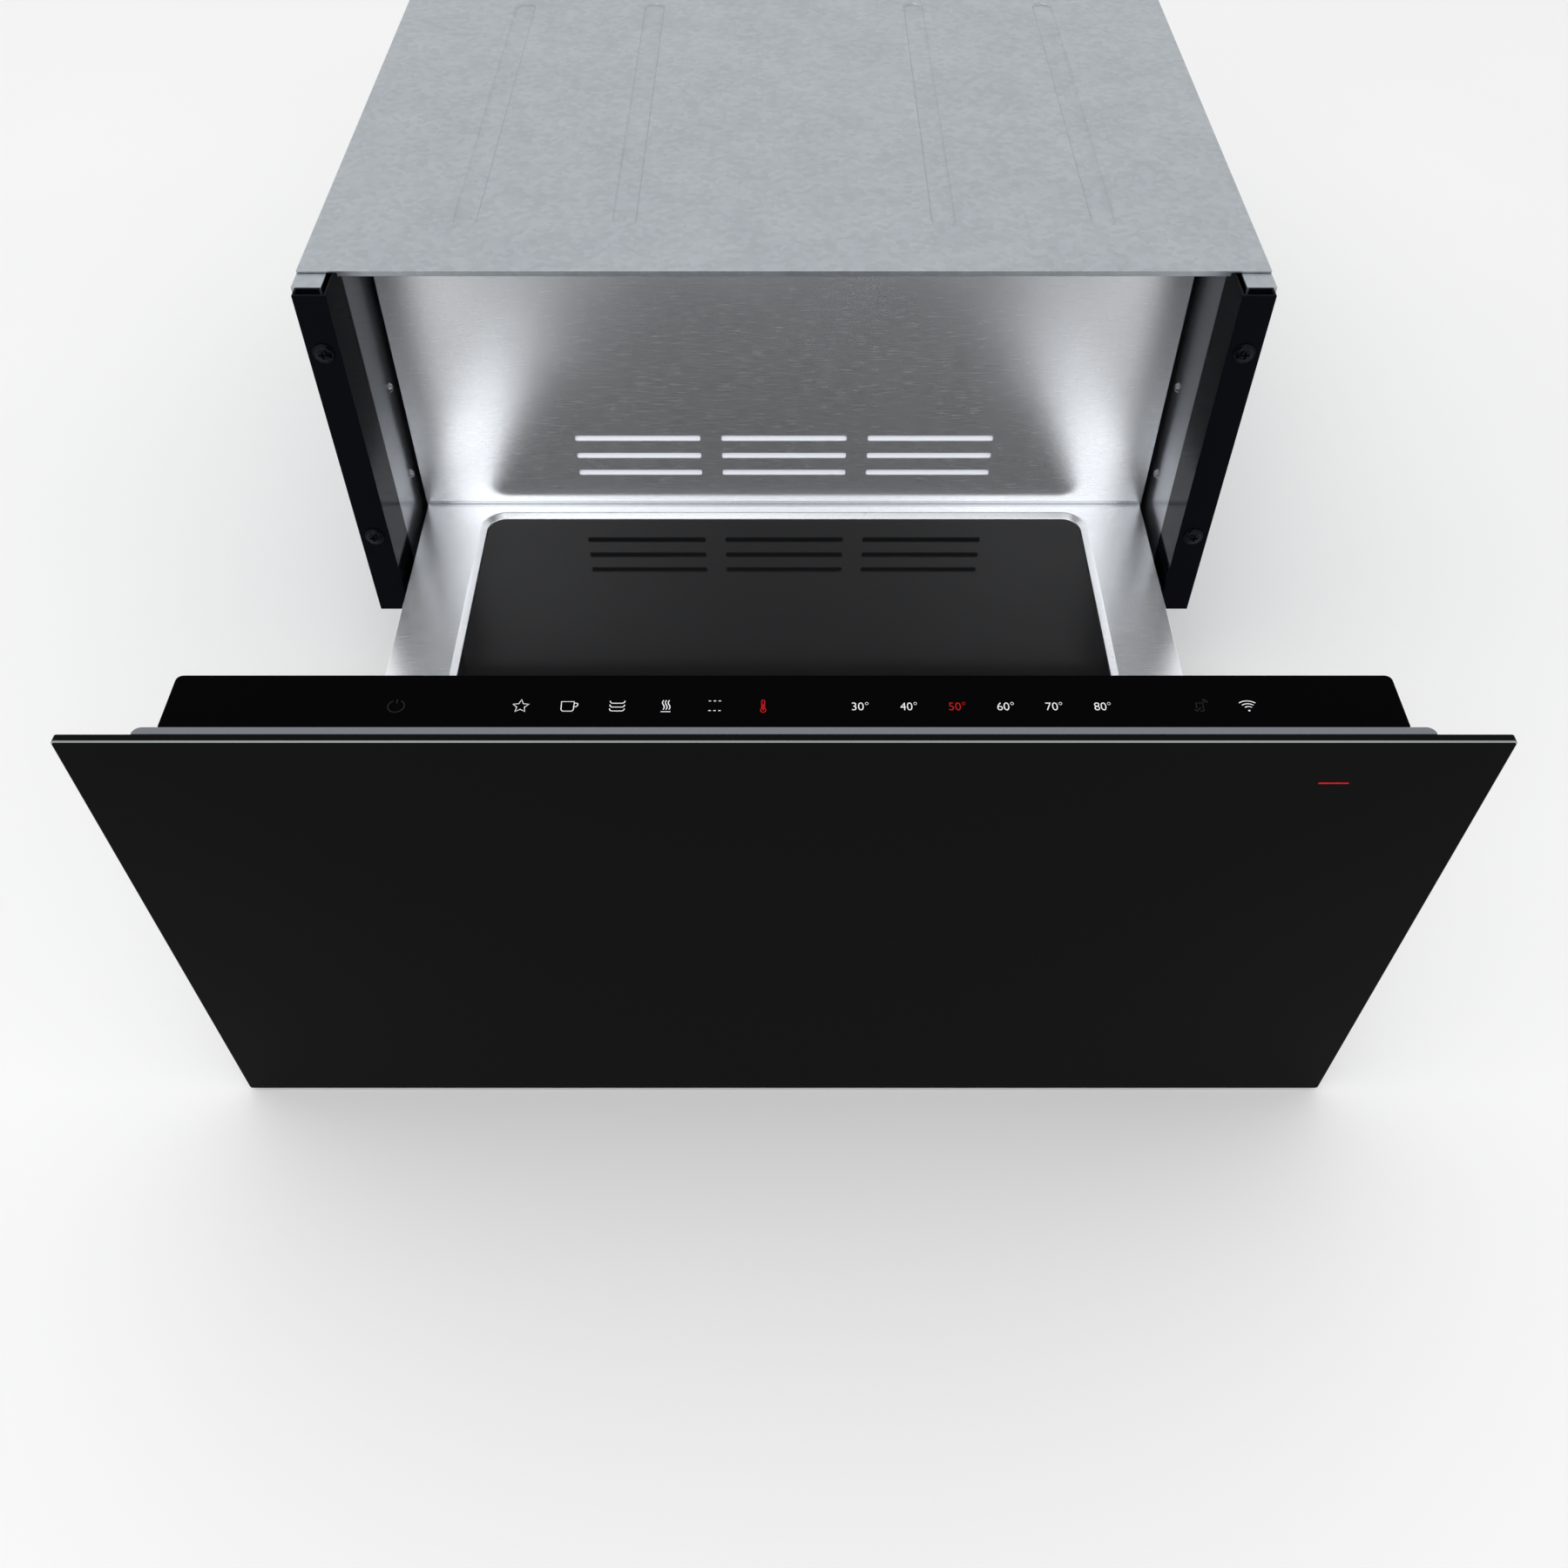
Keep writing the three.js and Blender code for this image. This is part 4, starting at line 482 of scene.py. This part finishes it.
def refined(name, edge, slot, finish=None, segments=2, crease=CREASE):
    """Stands for a construction node: the same shape with its creases rounded a little.

    Its finish has the slot's name unless another is named.
    """
    source = NODES[name]
    shape = bmesh.new()
    shape.from_mesh(source.data)
    bmesh.ops.remove_doubles(shape, verts=shape.verts, dist=DOUBLE)
    bmesh.ops.dissolve_limit(shape, angle_limit=FLAT, verts=shape.verts, edges=shape.edges)
    sharp = [
        e for e in shape.edges
        if len(e.link_faces) == 2 and e.calc_face_angle(0.0) > math.radians(crease)
    ]
    bmesh.ops.bevel(
        shape, geom=sharp, offset=edge, offset_type="OFFSET", segments=segments, profile=0.5,
        affect="EDGES", clamp_overlap=True, material=-1)
    mesh = mesh_from(shape, f"{name}_shown")
    body = source["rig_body"]
    made = add_piece(f"{name}_shown", mesh, body, slot, finish or slot, crease=crease)
    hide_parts(name)
    return made


def finished(name, slot):
    """Gives a construction node that needs no refining its slot's finish."""
    piece = NODES[name]
    piece.data.materials.clear()
    piece.data.materials.append(finish_named(slot))


def block(shape, low, high):
    """Adds a box between two corners to a bmesh and returns its points."""
    size = Vector(high) - Vector(low)
    middle = (Vector(high) + Vector(low)) / 2
    place = Matrix.Translation(middle) @ Matrix.Diagonal((*size, 1.0))
    return bmesh.ops.create_cube(shape, size=1.0, matrix=place)["verts"]


# ---- Pieces of the front -------------------------------------------------------------------------

# Half a status light's height is more than this share of it, so its ends come out round
LIGHT_END = 0.45


class FrontGlassOperator(bpy.types.Operator):
    """Front panel of black glass with a ground edge all round"""

    bl_idname = "drawer.front_glass"
    bl_label = "Front glass"

    def execute(self, context):
        sizes = context.scene.drawer_sizes
        low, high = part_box("front_glass")
        shape = bmesh.new()
        block(shape, (low.x, low.y + sizes.print_height, low.z), high)
        upright = [e for e in shape.edges if abs(e.verts[0].co.y - e.verts[1].co.y) > MM]
        bmesh.ops.bevel(
            shape, geom=upright, offset=sizes.glass_corner, offset_type="OFFSET", segments=6,
            profile=0.5, affect="EDGES", material=-1)
        face = [
            e for e in shape.edges
            if all(v.co.y < low.y + sizes.print_height + TOUCH for v in e.verts)
        ]
        ground = bmesh.ops.bevel(
            shape, geom=face, offset=sizes.chamfer, offset_type="OFFSET", segments=1,
            profile=0.5, affect="EDGES", material=-1)
        # The chamfer's pale finish paints part of the highlight it catches.
        for one in ground["faces"]:
            one.material_index = 1
        mesh = mesh_from(shape, "front_glass_panel")
        made = add_piece(
            "front_glass_panel", mesh, "drawer", "black_glass", "black_glass", "glass_edge")
        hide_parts("front_glass")
        return {"FINISHED"}


class StatusLightOperator(bpy.types.Operator):
    """Red light line that shines through the front glass"""

    bl_idname = "drawer.status_light"
    bl_label = "Status light"

    def execute(self, context):
        sizes = context.scene.drawer_sizes
        guide_low, guide_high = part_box("status_light_guide")
        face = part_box("front_glass")[0].y
        middle = (guide_low + guide_high) / 2
        half = Vector((sizes.light_length / 2, 0.0, sizes.light_height / 2))
        shape = bmesh.new()
        low = Vector((middle.x, face, middle.z)) - half
        high = Vector((middle.x, face + 2 * sizes.print_height, middle.z)) + half
        block(shape, low, high)
        ends = [e for e in shape.edges if abs(e.verts[0].co.y - e.verts[1].co.y) > TOUCH]
        bmesh.ops.bevel(
            shape, geom=ends, offset=sizes.light_height * LIGHT_END, offset_type="OFFSET",
            segments=4, profile=0.5, affect="EDGES", material=-1)
        mesh = mesh_from(shape, "status_light_line")
        add_piece("status_light_line", mesh, "drawer", "red_lens", "red_ink")
        return {"FINISHED"}


class FrontOperator(bpy.types.Operator):
    """Carrier, inner panel, trough and glass of the front"""

    bl_idname = "drawer.front"
    bl_label = "Front behind the glass"

    def execute(self, context):
        sizes = context.scene.drawer_sizes
        refined("front_carrier", sizes.sheet_edge, "grey_paint")
        refined("front_inner_panel", sizes.sheet_edge, "stainless")
        refined("control_housing", sizes.sheet_edge, "black_plastic")
        strip = refined("control_glass", sizes.moulded_edge, "black_glass", "strip_glass", 3)
        top = max(v.co.z for v in strip.data.vertices)
        for v in strip.data.vertices:       # room for the symbols on the glass
            if v.co.z > top - TOUCH:
                v.co.z -= sizes.print_height / 2
        finished("status_light_guide", "red_lens")
        finished("front_insulation", "mineral_wool")
        finished("control_board", "circuit_board")
        for side in SIDES:
            finished(f"{side}_front_bracket", "galvanised")
        return {"FINISHED"}


# ---- Symbols on the control strip ----------------------------------------------------------------

# Shares of a figure's height
FIGURE_WIDTH = 1.5           # width of two figures and the degree sign
FIGURE_THINNING = 0.012      # taken off the outline, for slim strokes
FIGURE_DEPTH = 0.01


def arc(radius, start, end, steps=10, middle=(0.0, 0.0), squash=1.0):
    """Points along an arc, with angles in degrees counted from the right."""
    turns = [math.radians(start + (end - start) * i / steps) for i in range(steps + 1)]
    return [
        (middle[0] + radius * math.cos(t), middle[1] + squash * radius * math.sin(t))
        for t in turns
    ]


def star():
    """Five-pointed outline."""
    points = []
    for i in range(10):
        radius = 3.7 if i % 2 == 0 else 1.7
        turn = math.radians(90 + 36 * i)
        points.append((radius * 0.95 * math.cos(turn), radius * 1.02 * math.sin(turn)))
    return [(points, True)]


def cup():
    """Cup with its handle on the right."""
    body = [(-3.4, 2.6), (1.9, 2.6), (1.9, -2.0), (1.3, -2.8), (-2.5, -2.8), (-3.2, -2.0)]
    handle = [(1.9, 1.7), (3.1, 1.7), (3.5, 1.2), (3.3, 0.2), (2.8, -0.3), (1.8, -0.3)]
    return [(body, True), (handle, False)]


def plates():
    """Three stacked plates."""
    return [
        ([(-3.1, top), (-2.8, top - 0.9), (-2.2, top - 1.3), (2.2, top - 1.3), (2.8, top - 0.9),
          (3.1, top)], False)
        for top in (3.0, 0.8, -1.4)
    ]


def steam():
    """Three rising wisps over a line."""
    def wisp(x):
        return [(x + 0.45 * math.sin(i * math.pi / 3.5), -1.9 + i * 0.75) for i in range(8)]
    return [(wisp(x), False) for x in (-1.2, 0.0, 1.2)] + [([(-2.1, -3.1), (1.9, -3.1)], False)]


def two_dashed_lines():
    """Two rows of three dashes."""
    return [
        ([(x - 0.5, y), (x + 0.5, y)], False)
        for y in (-2.5, 3.0) for x in (-2.05, 0.0, 2.05)
    ]


def thermometer():
    """Tube with a bulb and its filling."""
    bulb = arc(1.05, 125, 415, 12, (0.0, -2.3), 1.1)
    tube = [(0.6, 2.8), *arc(0.6, 20, 160, 5, (0.0, 2.9)), (-0.6, 2.8)]
    return [(bulb + tube, True), ([(0.0, -2.3), (0.0, 1.2)], False)]


def power():
    """Open ring with a stroke through its gap."""
    return [(arc(3.4, 118, 422, 20), False), ([(0.0, 1.6), (0.0, 4.0)], False)]


def remote_start():
    """Open frame with a tick in its gap and two waves at its corner."""
    card = [(-1.1, -1.2), (-1.05, 1.85), (1.75, 1.85), (1.6, -2.6), (0.1, -2.75)]
    tick = [(-2.1, -1.9), (-1.35, -2.9), (0.5, -0.85)]
    waves = [arc(r, 5, 90, 5, (1.9, 1.9)) for r in (1.0, 2.0)]
    return [(line, False) for line in (card, tick, *waves)]


def wireless():
    """Three arcs over a dot."""
    arcs = [(arc(r, 52, 128, 10, (0.0, -2.5)), False) for r in (2.3, 3.9, 5.5)]
    return arcs + [(arc(0.25, 0, 315, 7, (0.0, -2.5)), True)]


# Name, place along the strip in symbol pitches from the middle, drawing in millimetres and light
SYMBOLS = (
    ("power", -8.0, power, "painted_glow_ink"),
    ("favourite", -5.43, star, "white_ink"),
    ("cups", -4.43, cup, "white_ink"),
    ("plates", -3.44, plates, "white_ink"),
    ("food", -2.43, steam, "white_ink"),
    ("gentle", -1.43, two_dashed_lines, "white_ink"),
    ("temperature", -0.43, thermometer, "red_ink"),
    ("remote", 8.56, remote_start, "painted_glow_ink"),
    ("wireless", 9.57, wireless, "white_ink"),
)
FIGURES = tuple(
    (value, 1.57 + i, "red_ink" if value == 50 else "white_ink")
    for i, value in enumerate((30, 40, 50, 60, 70, 80))
)


def drawn(curve, name):
    """The mesh of a curve or text, which is then thrown away."""
    holder = bpy.data.objects.new(name, curve)
    bpy.context.scene.collection.objects.link(holder)
    bpy.context.view_layer.update()
    mesh = bpy.data.meshes.new_from_object(
        holder.evaluated_get(bpy.context.evaluated_depsgraph_get()))
    bpy.data.objects.remove(holder)
    bpy.data.curves.remove(curve)
    mesh.name = name
    return mesh


def strokes(name, lines, width):
    """Line drawing in millimetres as a mesh of thin round strokes."""
    curve = bpy.data.curves.new(name, "CURVE")
    curve.dimensions = "3D"
    curve.bevel_depth = width / 2
    curve.bevel_resolution = 1
    curve.use_fill_caps = True
    for points, closed in lines:
        spline = curve.splines.new("POLY")
        spline.points.add(len(points) - 1)
        for point, (x, y) in zip(spline.points, points):
            point.co = (x * MM, y * MM, 0.0, 1.0)
        spline.use_cyclic_u = closed
    return drawn(curve, name)


def figures(name, value, height):
    """A temperature such as 50 degrees as a mesh, centred, with slim figures."""
    text = bpy.data.curves.new(name, "FONT")
    text.body = f"{value}°"
    text.size = height
    text.offset = -height * FIGURE_THINNING
    text.extrude = height * FIGURE_DEPTH
    mesh = drawn(text, name)
    xs = [v.co.x for v in mesh.vertices]
    ys = [v.co.y for v in mesh.vertices]
    width = max(xs) - min(xs)
    tall = max(ys) - min(ys)
    centre = Vector(((max(xs) + min(xs)) / 2, (max(ys) + min(ys)) / 2, 0.0))
    fit = Matrix.Diagonal((height * FIGURE_WIDTH / width, height / tall, 1.0, 1.0))
    mesh.transform(fit @ Matrix.Translation(-centre))
    return mesh


class SymbolsOperator(bpy.types.Operator):
    """Lit symbols and temperatures on the control strip"""

    bl_idname = "drawer.symbols"
    bl_label = "Strip symbols"

    def execute(self, context):
        sizes = context.scene.drawer_sizes
        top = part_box("control_glass")[1].z
        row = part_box("front_glass")[0].y + sizes.symbol_row
        drawings = [
            (name, at, strokes(f"symbol_{name}", draw(), sizes.stroke), ink)
            for name, at, draw, ink in SYMBOLS
        ]
        drawings += [
            (str(value), at, figures(f"symbol_{value}", value, sizes.digits), ink)
            for value, at, ink in FIGURES
        ]
        for name, at, mesh, ink in drawings:
            low = min(v.co.z for v in mesh.vertices)
            high = max(v.co.z for v in mesh.vertices)
            flat = Matrix.Diagonal((1.0, 1.0, sizes.print_height / (high - low), 1.0))
            place = Vector((at * sizes.symbol_pitch, row, top - sizes.print_height / 2))
            mesh.transform(Matrix.Translation(place) @ flat)
            add_piece(f"symbol_{name}", mesh, "drawer", "red_lens", ink)
        return {"FINISHED"}


# ---- Pieces of the tray --------------------------------------------------------------------------

RECESS_CREASE = 25           # the recess's slopes meet the floor at fewer degrees than CREASE
# The bright sheets that slant up behind the slots' lower edges
SLANT_TURN = math.radians(54)
SLANT_BEHIND = 0.85          # foot behind the wall's face, as a share of the wall's thickness
SLANT_BELOW = 0.44           # foot below the slot's middle, as a share of the slot's height
SUNK = 0.1 * MM              # the seam's foot below the floor's surface


class HeatPlateOperator(bpy.types.Operator):
    """Satin glass heating plate that lies in the floor's recess"""

    bl_idname = "drawer.heat_plate"
    bl_label = "Heating plate"

    def execute(self, context):
        sizes = context.scene.drawer_sizes
        low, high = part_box("heat_plate")
        shape = bmesh.new()
        block(shape, low, high)
        upright = [e for e in shape.edges if abs(e.verts[0].co.z - e.verts[1].co.z) > MM]
        bmesh.ops.bevel(
            shape, geom=upright, offset=sizes.plate_corner, offset_type="OFFSET", segments=12,
            profile=0.5, affect="EDGES", material=-1)
        upper = [e for e in shape.edges if all(v.co.z > high.z - TOUCH for v in e.verts)]
        bmesh.ops.bevel(
            shape, geom=upper, offset=sizes.plate_edge, offset_type="OFFSET", segments=3,
            profile=0.5, affect="EDGES", material=-1)
        mesh = mesh_from(shape, "heating_plate")
        made = add_piece("heating_plate", mesh, "drawer", "plate_glass", "plate_glass")
        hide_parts("heat_plate")
        return {"FINISHED"}


class TrayOperator(bpy.types.Operator):
    """Floor, rear wall and underside of the drawer"""

    bl_idname = "drawer.tray"
    bl_label = "Tray"

    def execute(self, context):
        sizes = context.scene.drawer_sizes
        refined(
            "drawer_floor", sizes.floor_edge, "stainless", segments=3, crease=RECESS_CREASE)
        refined("drawer_rear_wall", sizes.sheet_edge, "stainless", segments=3)
        refined("under_pan", sizes.sheet_edge, "galvanised")
        finished("heating_element", "element")
        finished("floor_insulation", "mineral_wool")
        return {"FINISHED"}


class RearWallDetailOperator(bpy.types.Operator):
    """Bright slants in the rear wall's air slots and the seam along its foot"""

    bl_idname = "drawer.rear_wall_detail"
    bl_label = "Slot slants and seam"

    def execute(self, context):
        sizes = context.scene.drawer_sizes
        floor_low, floor_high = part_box("drawer_floor")
        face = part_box("drawer_rear_wall")[0].y
        half = sizes.slot_length / 2 + sizes.slant_overlap
        behind = sizes.wall_sheet * SLANT_BEHIND
        below = sizes.slot_height * SLANT_BELOW
        lowest = floor_high.z + sizes.lowest_slots - below
        slants = bmesh.new()
        for column in (-1, 0, 1):
            for row in (0, 1, 2):
                foot = Vector((
                    column * sizes.slot_columns, face + behind, lowest + row * sizes.slot_rows))
                low = foot - Vector((half, 0.0, sizes.slant_sheet))
                high = foot + Vector((half, sizes.slant_length, 0.0))
                bmesh.ops.rotate(
                    slants, verts=block(slants, low, high), cent=foot,
                    matrix=Matrix.Rotation(SLANT_TURN, 3, "X"))
        mesh = mesh_from(slants, "rear_wall_slants")
        add_piece("rear_wall_slants", mesh, "drawer", "stainless", "slant")

        # The seam is a thin strip in a steel darker than the floor's: painted shade of the joint
        # line.
        seam = bmesh.new()
        low = (floor_low.x + sizes.seam_inset, face - sizes.seam_depth, floor_high.z - SUNK)
        high = (floor_high.x - sizes.seam_inset, face, floor_high.z + sizes.seam)
        block(seam, low, high)
        mesh = mesh_from(seam, "rear_wall_seam")
        add_piece("rear_wall_seam", mesh, "drawer", "stainless", "seam")
        return {"FINISHED"}


# ---- Pieces of the housing -----------------------------------------------------------------------


class HousingOperator(bpy.types.Operator):
    """Galvanised sheets, uprights and polished walls of the housing"""

    bl_idname = "drawer.housing"
    bl_label = "Housing"

    def execute(self, context):
        sizes = context.scene.drawer_sizes
        edge = sizes.sheet_edge
        for name in ("base_pan", "top_cover", "rear_panel", "air_guide_panel"):
            refined(name, edge, "galvanised")
        refined("cavity_ceiling", edge, "polished_steel")
        for side in SIDES:
            refined(f"{side}_side_panel", edge, "galvanised")
            refined(f"{side}_inner_wall", edge, "polished_steel")
            refined(f"{side}_front_frame", edge * 2, "black_paint", segments=3)
            for place in ("lower", "upper"):
                refined(f"{side}_{place}_frame_screw", sizes.screw_edge, "dark_screw")
        return {"FINISHED"}


class WarmAirOperator(bpy.types.Operator):
    """Fan, heater and what surrounds them behind the cavity"""

    bl_idname = "drawer.warm_air"
    bl_label = "Warm air unit"

    def execute(self, context):
        edge = context.scene.drawer_sizes.sheet_edge
        refined("fan_housing", edge, "galvanised")
        refined("fan_motor", edge, "grey_paint")
        finished("ring_heater", "element")
        for name in ("fan_wheel", "motor_shaft", "temperature_sensor"):
            finished(name, "bearing_steel")
        refined("power_module", edge, "black_plastic")
        refined("mains_inlet", edge, "black_plastic")
        return {"FINISHED"}


class RunnersOperator(bpy.types.Operator):
    """Telescopic runners and push latches"""

    bl_idname = "drawer.runners"
    bl_label = "Runners and latches"

    def execute(self, context):
        edge = context.scene.drawer_sizes.sheet_edge
        for side in SIDES:
            for part in ("outer_rail", "middle_rail", "inner_rail"):
                refined(f"{side}_{part}", edge, "bearing_steel")
            for part in ("outer_ball_cage", "inner_ball_cage"):
                finished(f"{side}_{part}", "bearing_steel")
            refined(f"{side}_latch_body", edge, "black_plastic")
            finished(f"{side}_latch_plunger", "pale_plastic")
        return {"FINISHED"}


# ---- Stage ---------------------------------------------------------------------------------------

STAGE_HALF = 6.0                     # half the side of the square floor
LIGHT_AIM = (0.0, -0.2, 0.1)         # where all lamps look: the middle of the open drawer
# Name, place, width, height, watts and how far the lamp's top leans to the left, in degrees
LAMPS = (
    ("left_light", (-0.84, -2.35, 1.62), 0.9, 1.1, 5.6, 15),
    ("right_light", (0.84, -2.35, 1.62), 0.9, 1.1, 4.9, -15),
    ("top_light", (-1.0, -0.6, 2.4), 1.6, 1.6, 5.0, 0),
)
# The photograph's camera, worked out from its vanishing points
CAMERA_PLACE = (0.0, -0.9930, 0.7174)
CAMERA_TILT = math.radians(40.5)     # up from straight down
LENS_MM = 32.86
SENSOR_MM = 36.0
NEAREST_SEEN = 0.02                  # from the camera


def stage_floor_finish(tint):
    """Matt pale floor that the camera sees as white except where the object shades it."""
    def build(tree):
        paper = noise(tree, (300, 300, 300), detail=1.0)        # slow unevenness of the sheet
        return {"Base Color": shaded(tree, paper, scaled_colour(tint, 0.99), tint)}
    return material("matt_stage_floor", {"Roughness": 0.9, "Specular IOR Level": 0.1}, build)


def ground(tint):
    """The floor that the drawer stands on."""
    shape = bmesh.new()
    bmesh.ops.create_grid(shape, x_segments=1, y_segments=1, size=STAGE_HALF)
    mesh = mesh_from(shape, "stage_floor")
    mesh.materials.append(stage_floor_finish(tint))
    floor = bpy.data.objects.new("stage_floor", mesh)
    bpy.context.scene.collection.objects.link(floor)


def softbox(name, place, width, height, watts, lean):
    """A large soft lamp that looks at the drawer."""
    light = bpy.data.lights.new(name, "AREA")
    light.shape = "RECTANGLE"
    light.size = width
    light.size_y = height
    light.energy = watts
    lamp = bpy.data.objects.new(name, light)
    bpy.context.scene.collection.objects.link(lamp)
    lamp.location = place
    turned = (Vector(LIGHT_AIM) - Vector(place)).to_track_quat("-Z", "Y").to_matrix()
    lamp.rotation_euler = (turned @ Matrix.Rotation(math.radians(lean), 3, "Z")).to_euler()


def white_surroundings():
    """A white world, a little dimmer where it lights matt surfaces than where it is seen."""
    world = bpy.data.worlds.new("studio")
    bpy.context.scene.world = world
    world.use_nodes = True
    tree = world.node_tree
    tree.nodes.clear()
    path = node(tree, "ShaderNodeLightPath")
    mirrored = node(tree, "ShaderNodeMath", operation="MAXIMUM")
    tree.links.new(path.outputs["Is Glossy Ray"], mirrored.inputs[0])
    tree.links.new(path.outputs["Is Transmission Ray"], mirrored.inputs[1])
    shown = node(tree, "ShaderNodeMath", operation="MAXIMUM")
    tree.links.new(path.outputs["Is Camera Ray"], shown.inputs[0])
    tree.links.new(mirrored.outputs["Value"], shown.inputs[1])
    white = (1.0, 1.0, 1.0, 1.0)
    around = node(tree, "ShaderNodeBackground", {"Color": white, "Strength": 0.95})
    seen = node(tree, "ShaderNodeBackground", {"Color": white, "Strength": 1.0})
    both = node(tree, "ShaderNodeMixShader", {"Fac": shown.outputs["Value"]})
    tree.links.new(around.outputs["Background"], both.inputs[1])
    tree.links.new(seen.outputs["Background"], both.inputs[2])
    node(tree, "ShaderNodeOutputWorld", {"Surface": both.outputs["Shader"]})


def photograph_camera():
    """The camera at the photograph's viewing angle."""
    lens = bpy.data.cameras.new("camera")
    lens.lens = LENS_MM
    lens.sensor_width = SENSOR_MM
    lens.clip_start = NEAREST_SEEN
    camera = bpy.data.objects.new("camera", lens)
    bpy.context.scene.collection.objects.link(camera)
    camera.location = CAMERA_PLACE
    camera.rotation_euler = (CAMERA_TILT, 0.0, 0.0)
    bpy.context.scene.camera = camera


class StageOperator(bpy.types.Operator):
    """Pale floor, soft light and the photograph's camera"""

    bl_idname = "drawer.stage"
    bl_label = "Stage"

    def execute(self, context):
        ground(tuple(context.scene.drawer_colours.floor))
        for lamp in LAMPS:
            softbox(*lamp)
        white_surroundings()
        photograph_camera()
        context.scene.view_settings.view_transform = "Standard"
        return {"FINISHED"}


# ---- Panel, registration and the whole run -------------------------------------------------------

OPERATORS = (
    FrontGlassOperator, StatusLightOperator, FrontOperator, SymbolsOperator, HeatPlateOperator,
    TrayOperator, RearWallDetailOperator, HousingOperator, WarmAirOperator, RunnersOperator,
    StageOperator,
)


class DrawerPanel(bpy.types.Panel):
    """Sizes, colours and building steps in the 3D view's sidebar"""

    bl_idname = "VIEW3D_PT_warming_drawer"
    bl_label = "Warming drawer"
    bl_space_type = "VIEW_3D"
    bl_region_type = "UI"
    bl_category = "Drawer"

    def draw(self, context):
        scene = context.scene
        for group in (scene.drawer_sizes, scene.drawer_colours):
            box = self.layout.box()
            for name in group.bl_rna.properties.keys():
                if name not in ("rna_type", "name"):
                    box.prop(group, name)
        for step in OPERATORS:
            self.layout.operator(step.bl_idname)


CLASSES = (DrawerSizes, DrawerColours, *OPERATORS, DrawerPanel)


def register():
    for one in CLASSES:
        bpy.utils.register_class(one)
    bpy.types.Scene.drawer_sizes = bpy.props.PointerProperty(type=DrawerSizes)
    bpy.types.Scene.drawer_colours = bpy.props.PointerProperty(type=DrawerColours)


def unregister():
    del bpy.types.Scene.drawer_colours
    del bpy.types.Scene.drawer_sizes
    for one in reversed(CLASSES):
        bpy.utils.unregister_class(one)


def main():
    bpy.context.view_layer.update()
    register()
    bpy.ops.drawer.front_glass()
    bpy.ops.drawer.status_light()
    bpy.ops.drawer.front()
    bpy.ops.drawer.symbols()
    bpy.ops.drawer.heat_plate()
    bpy.ops.drawer.tray()
    bpy.ops.drawer.rear_wall_detail()
    bpy.ops.drawer.housing()
    bpy.ops.drawer.warm_air()
    bpy.ops.drawer.runners()
    bpy.ops.drawer.stage()


if __name__ == "__main__":
    main()
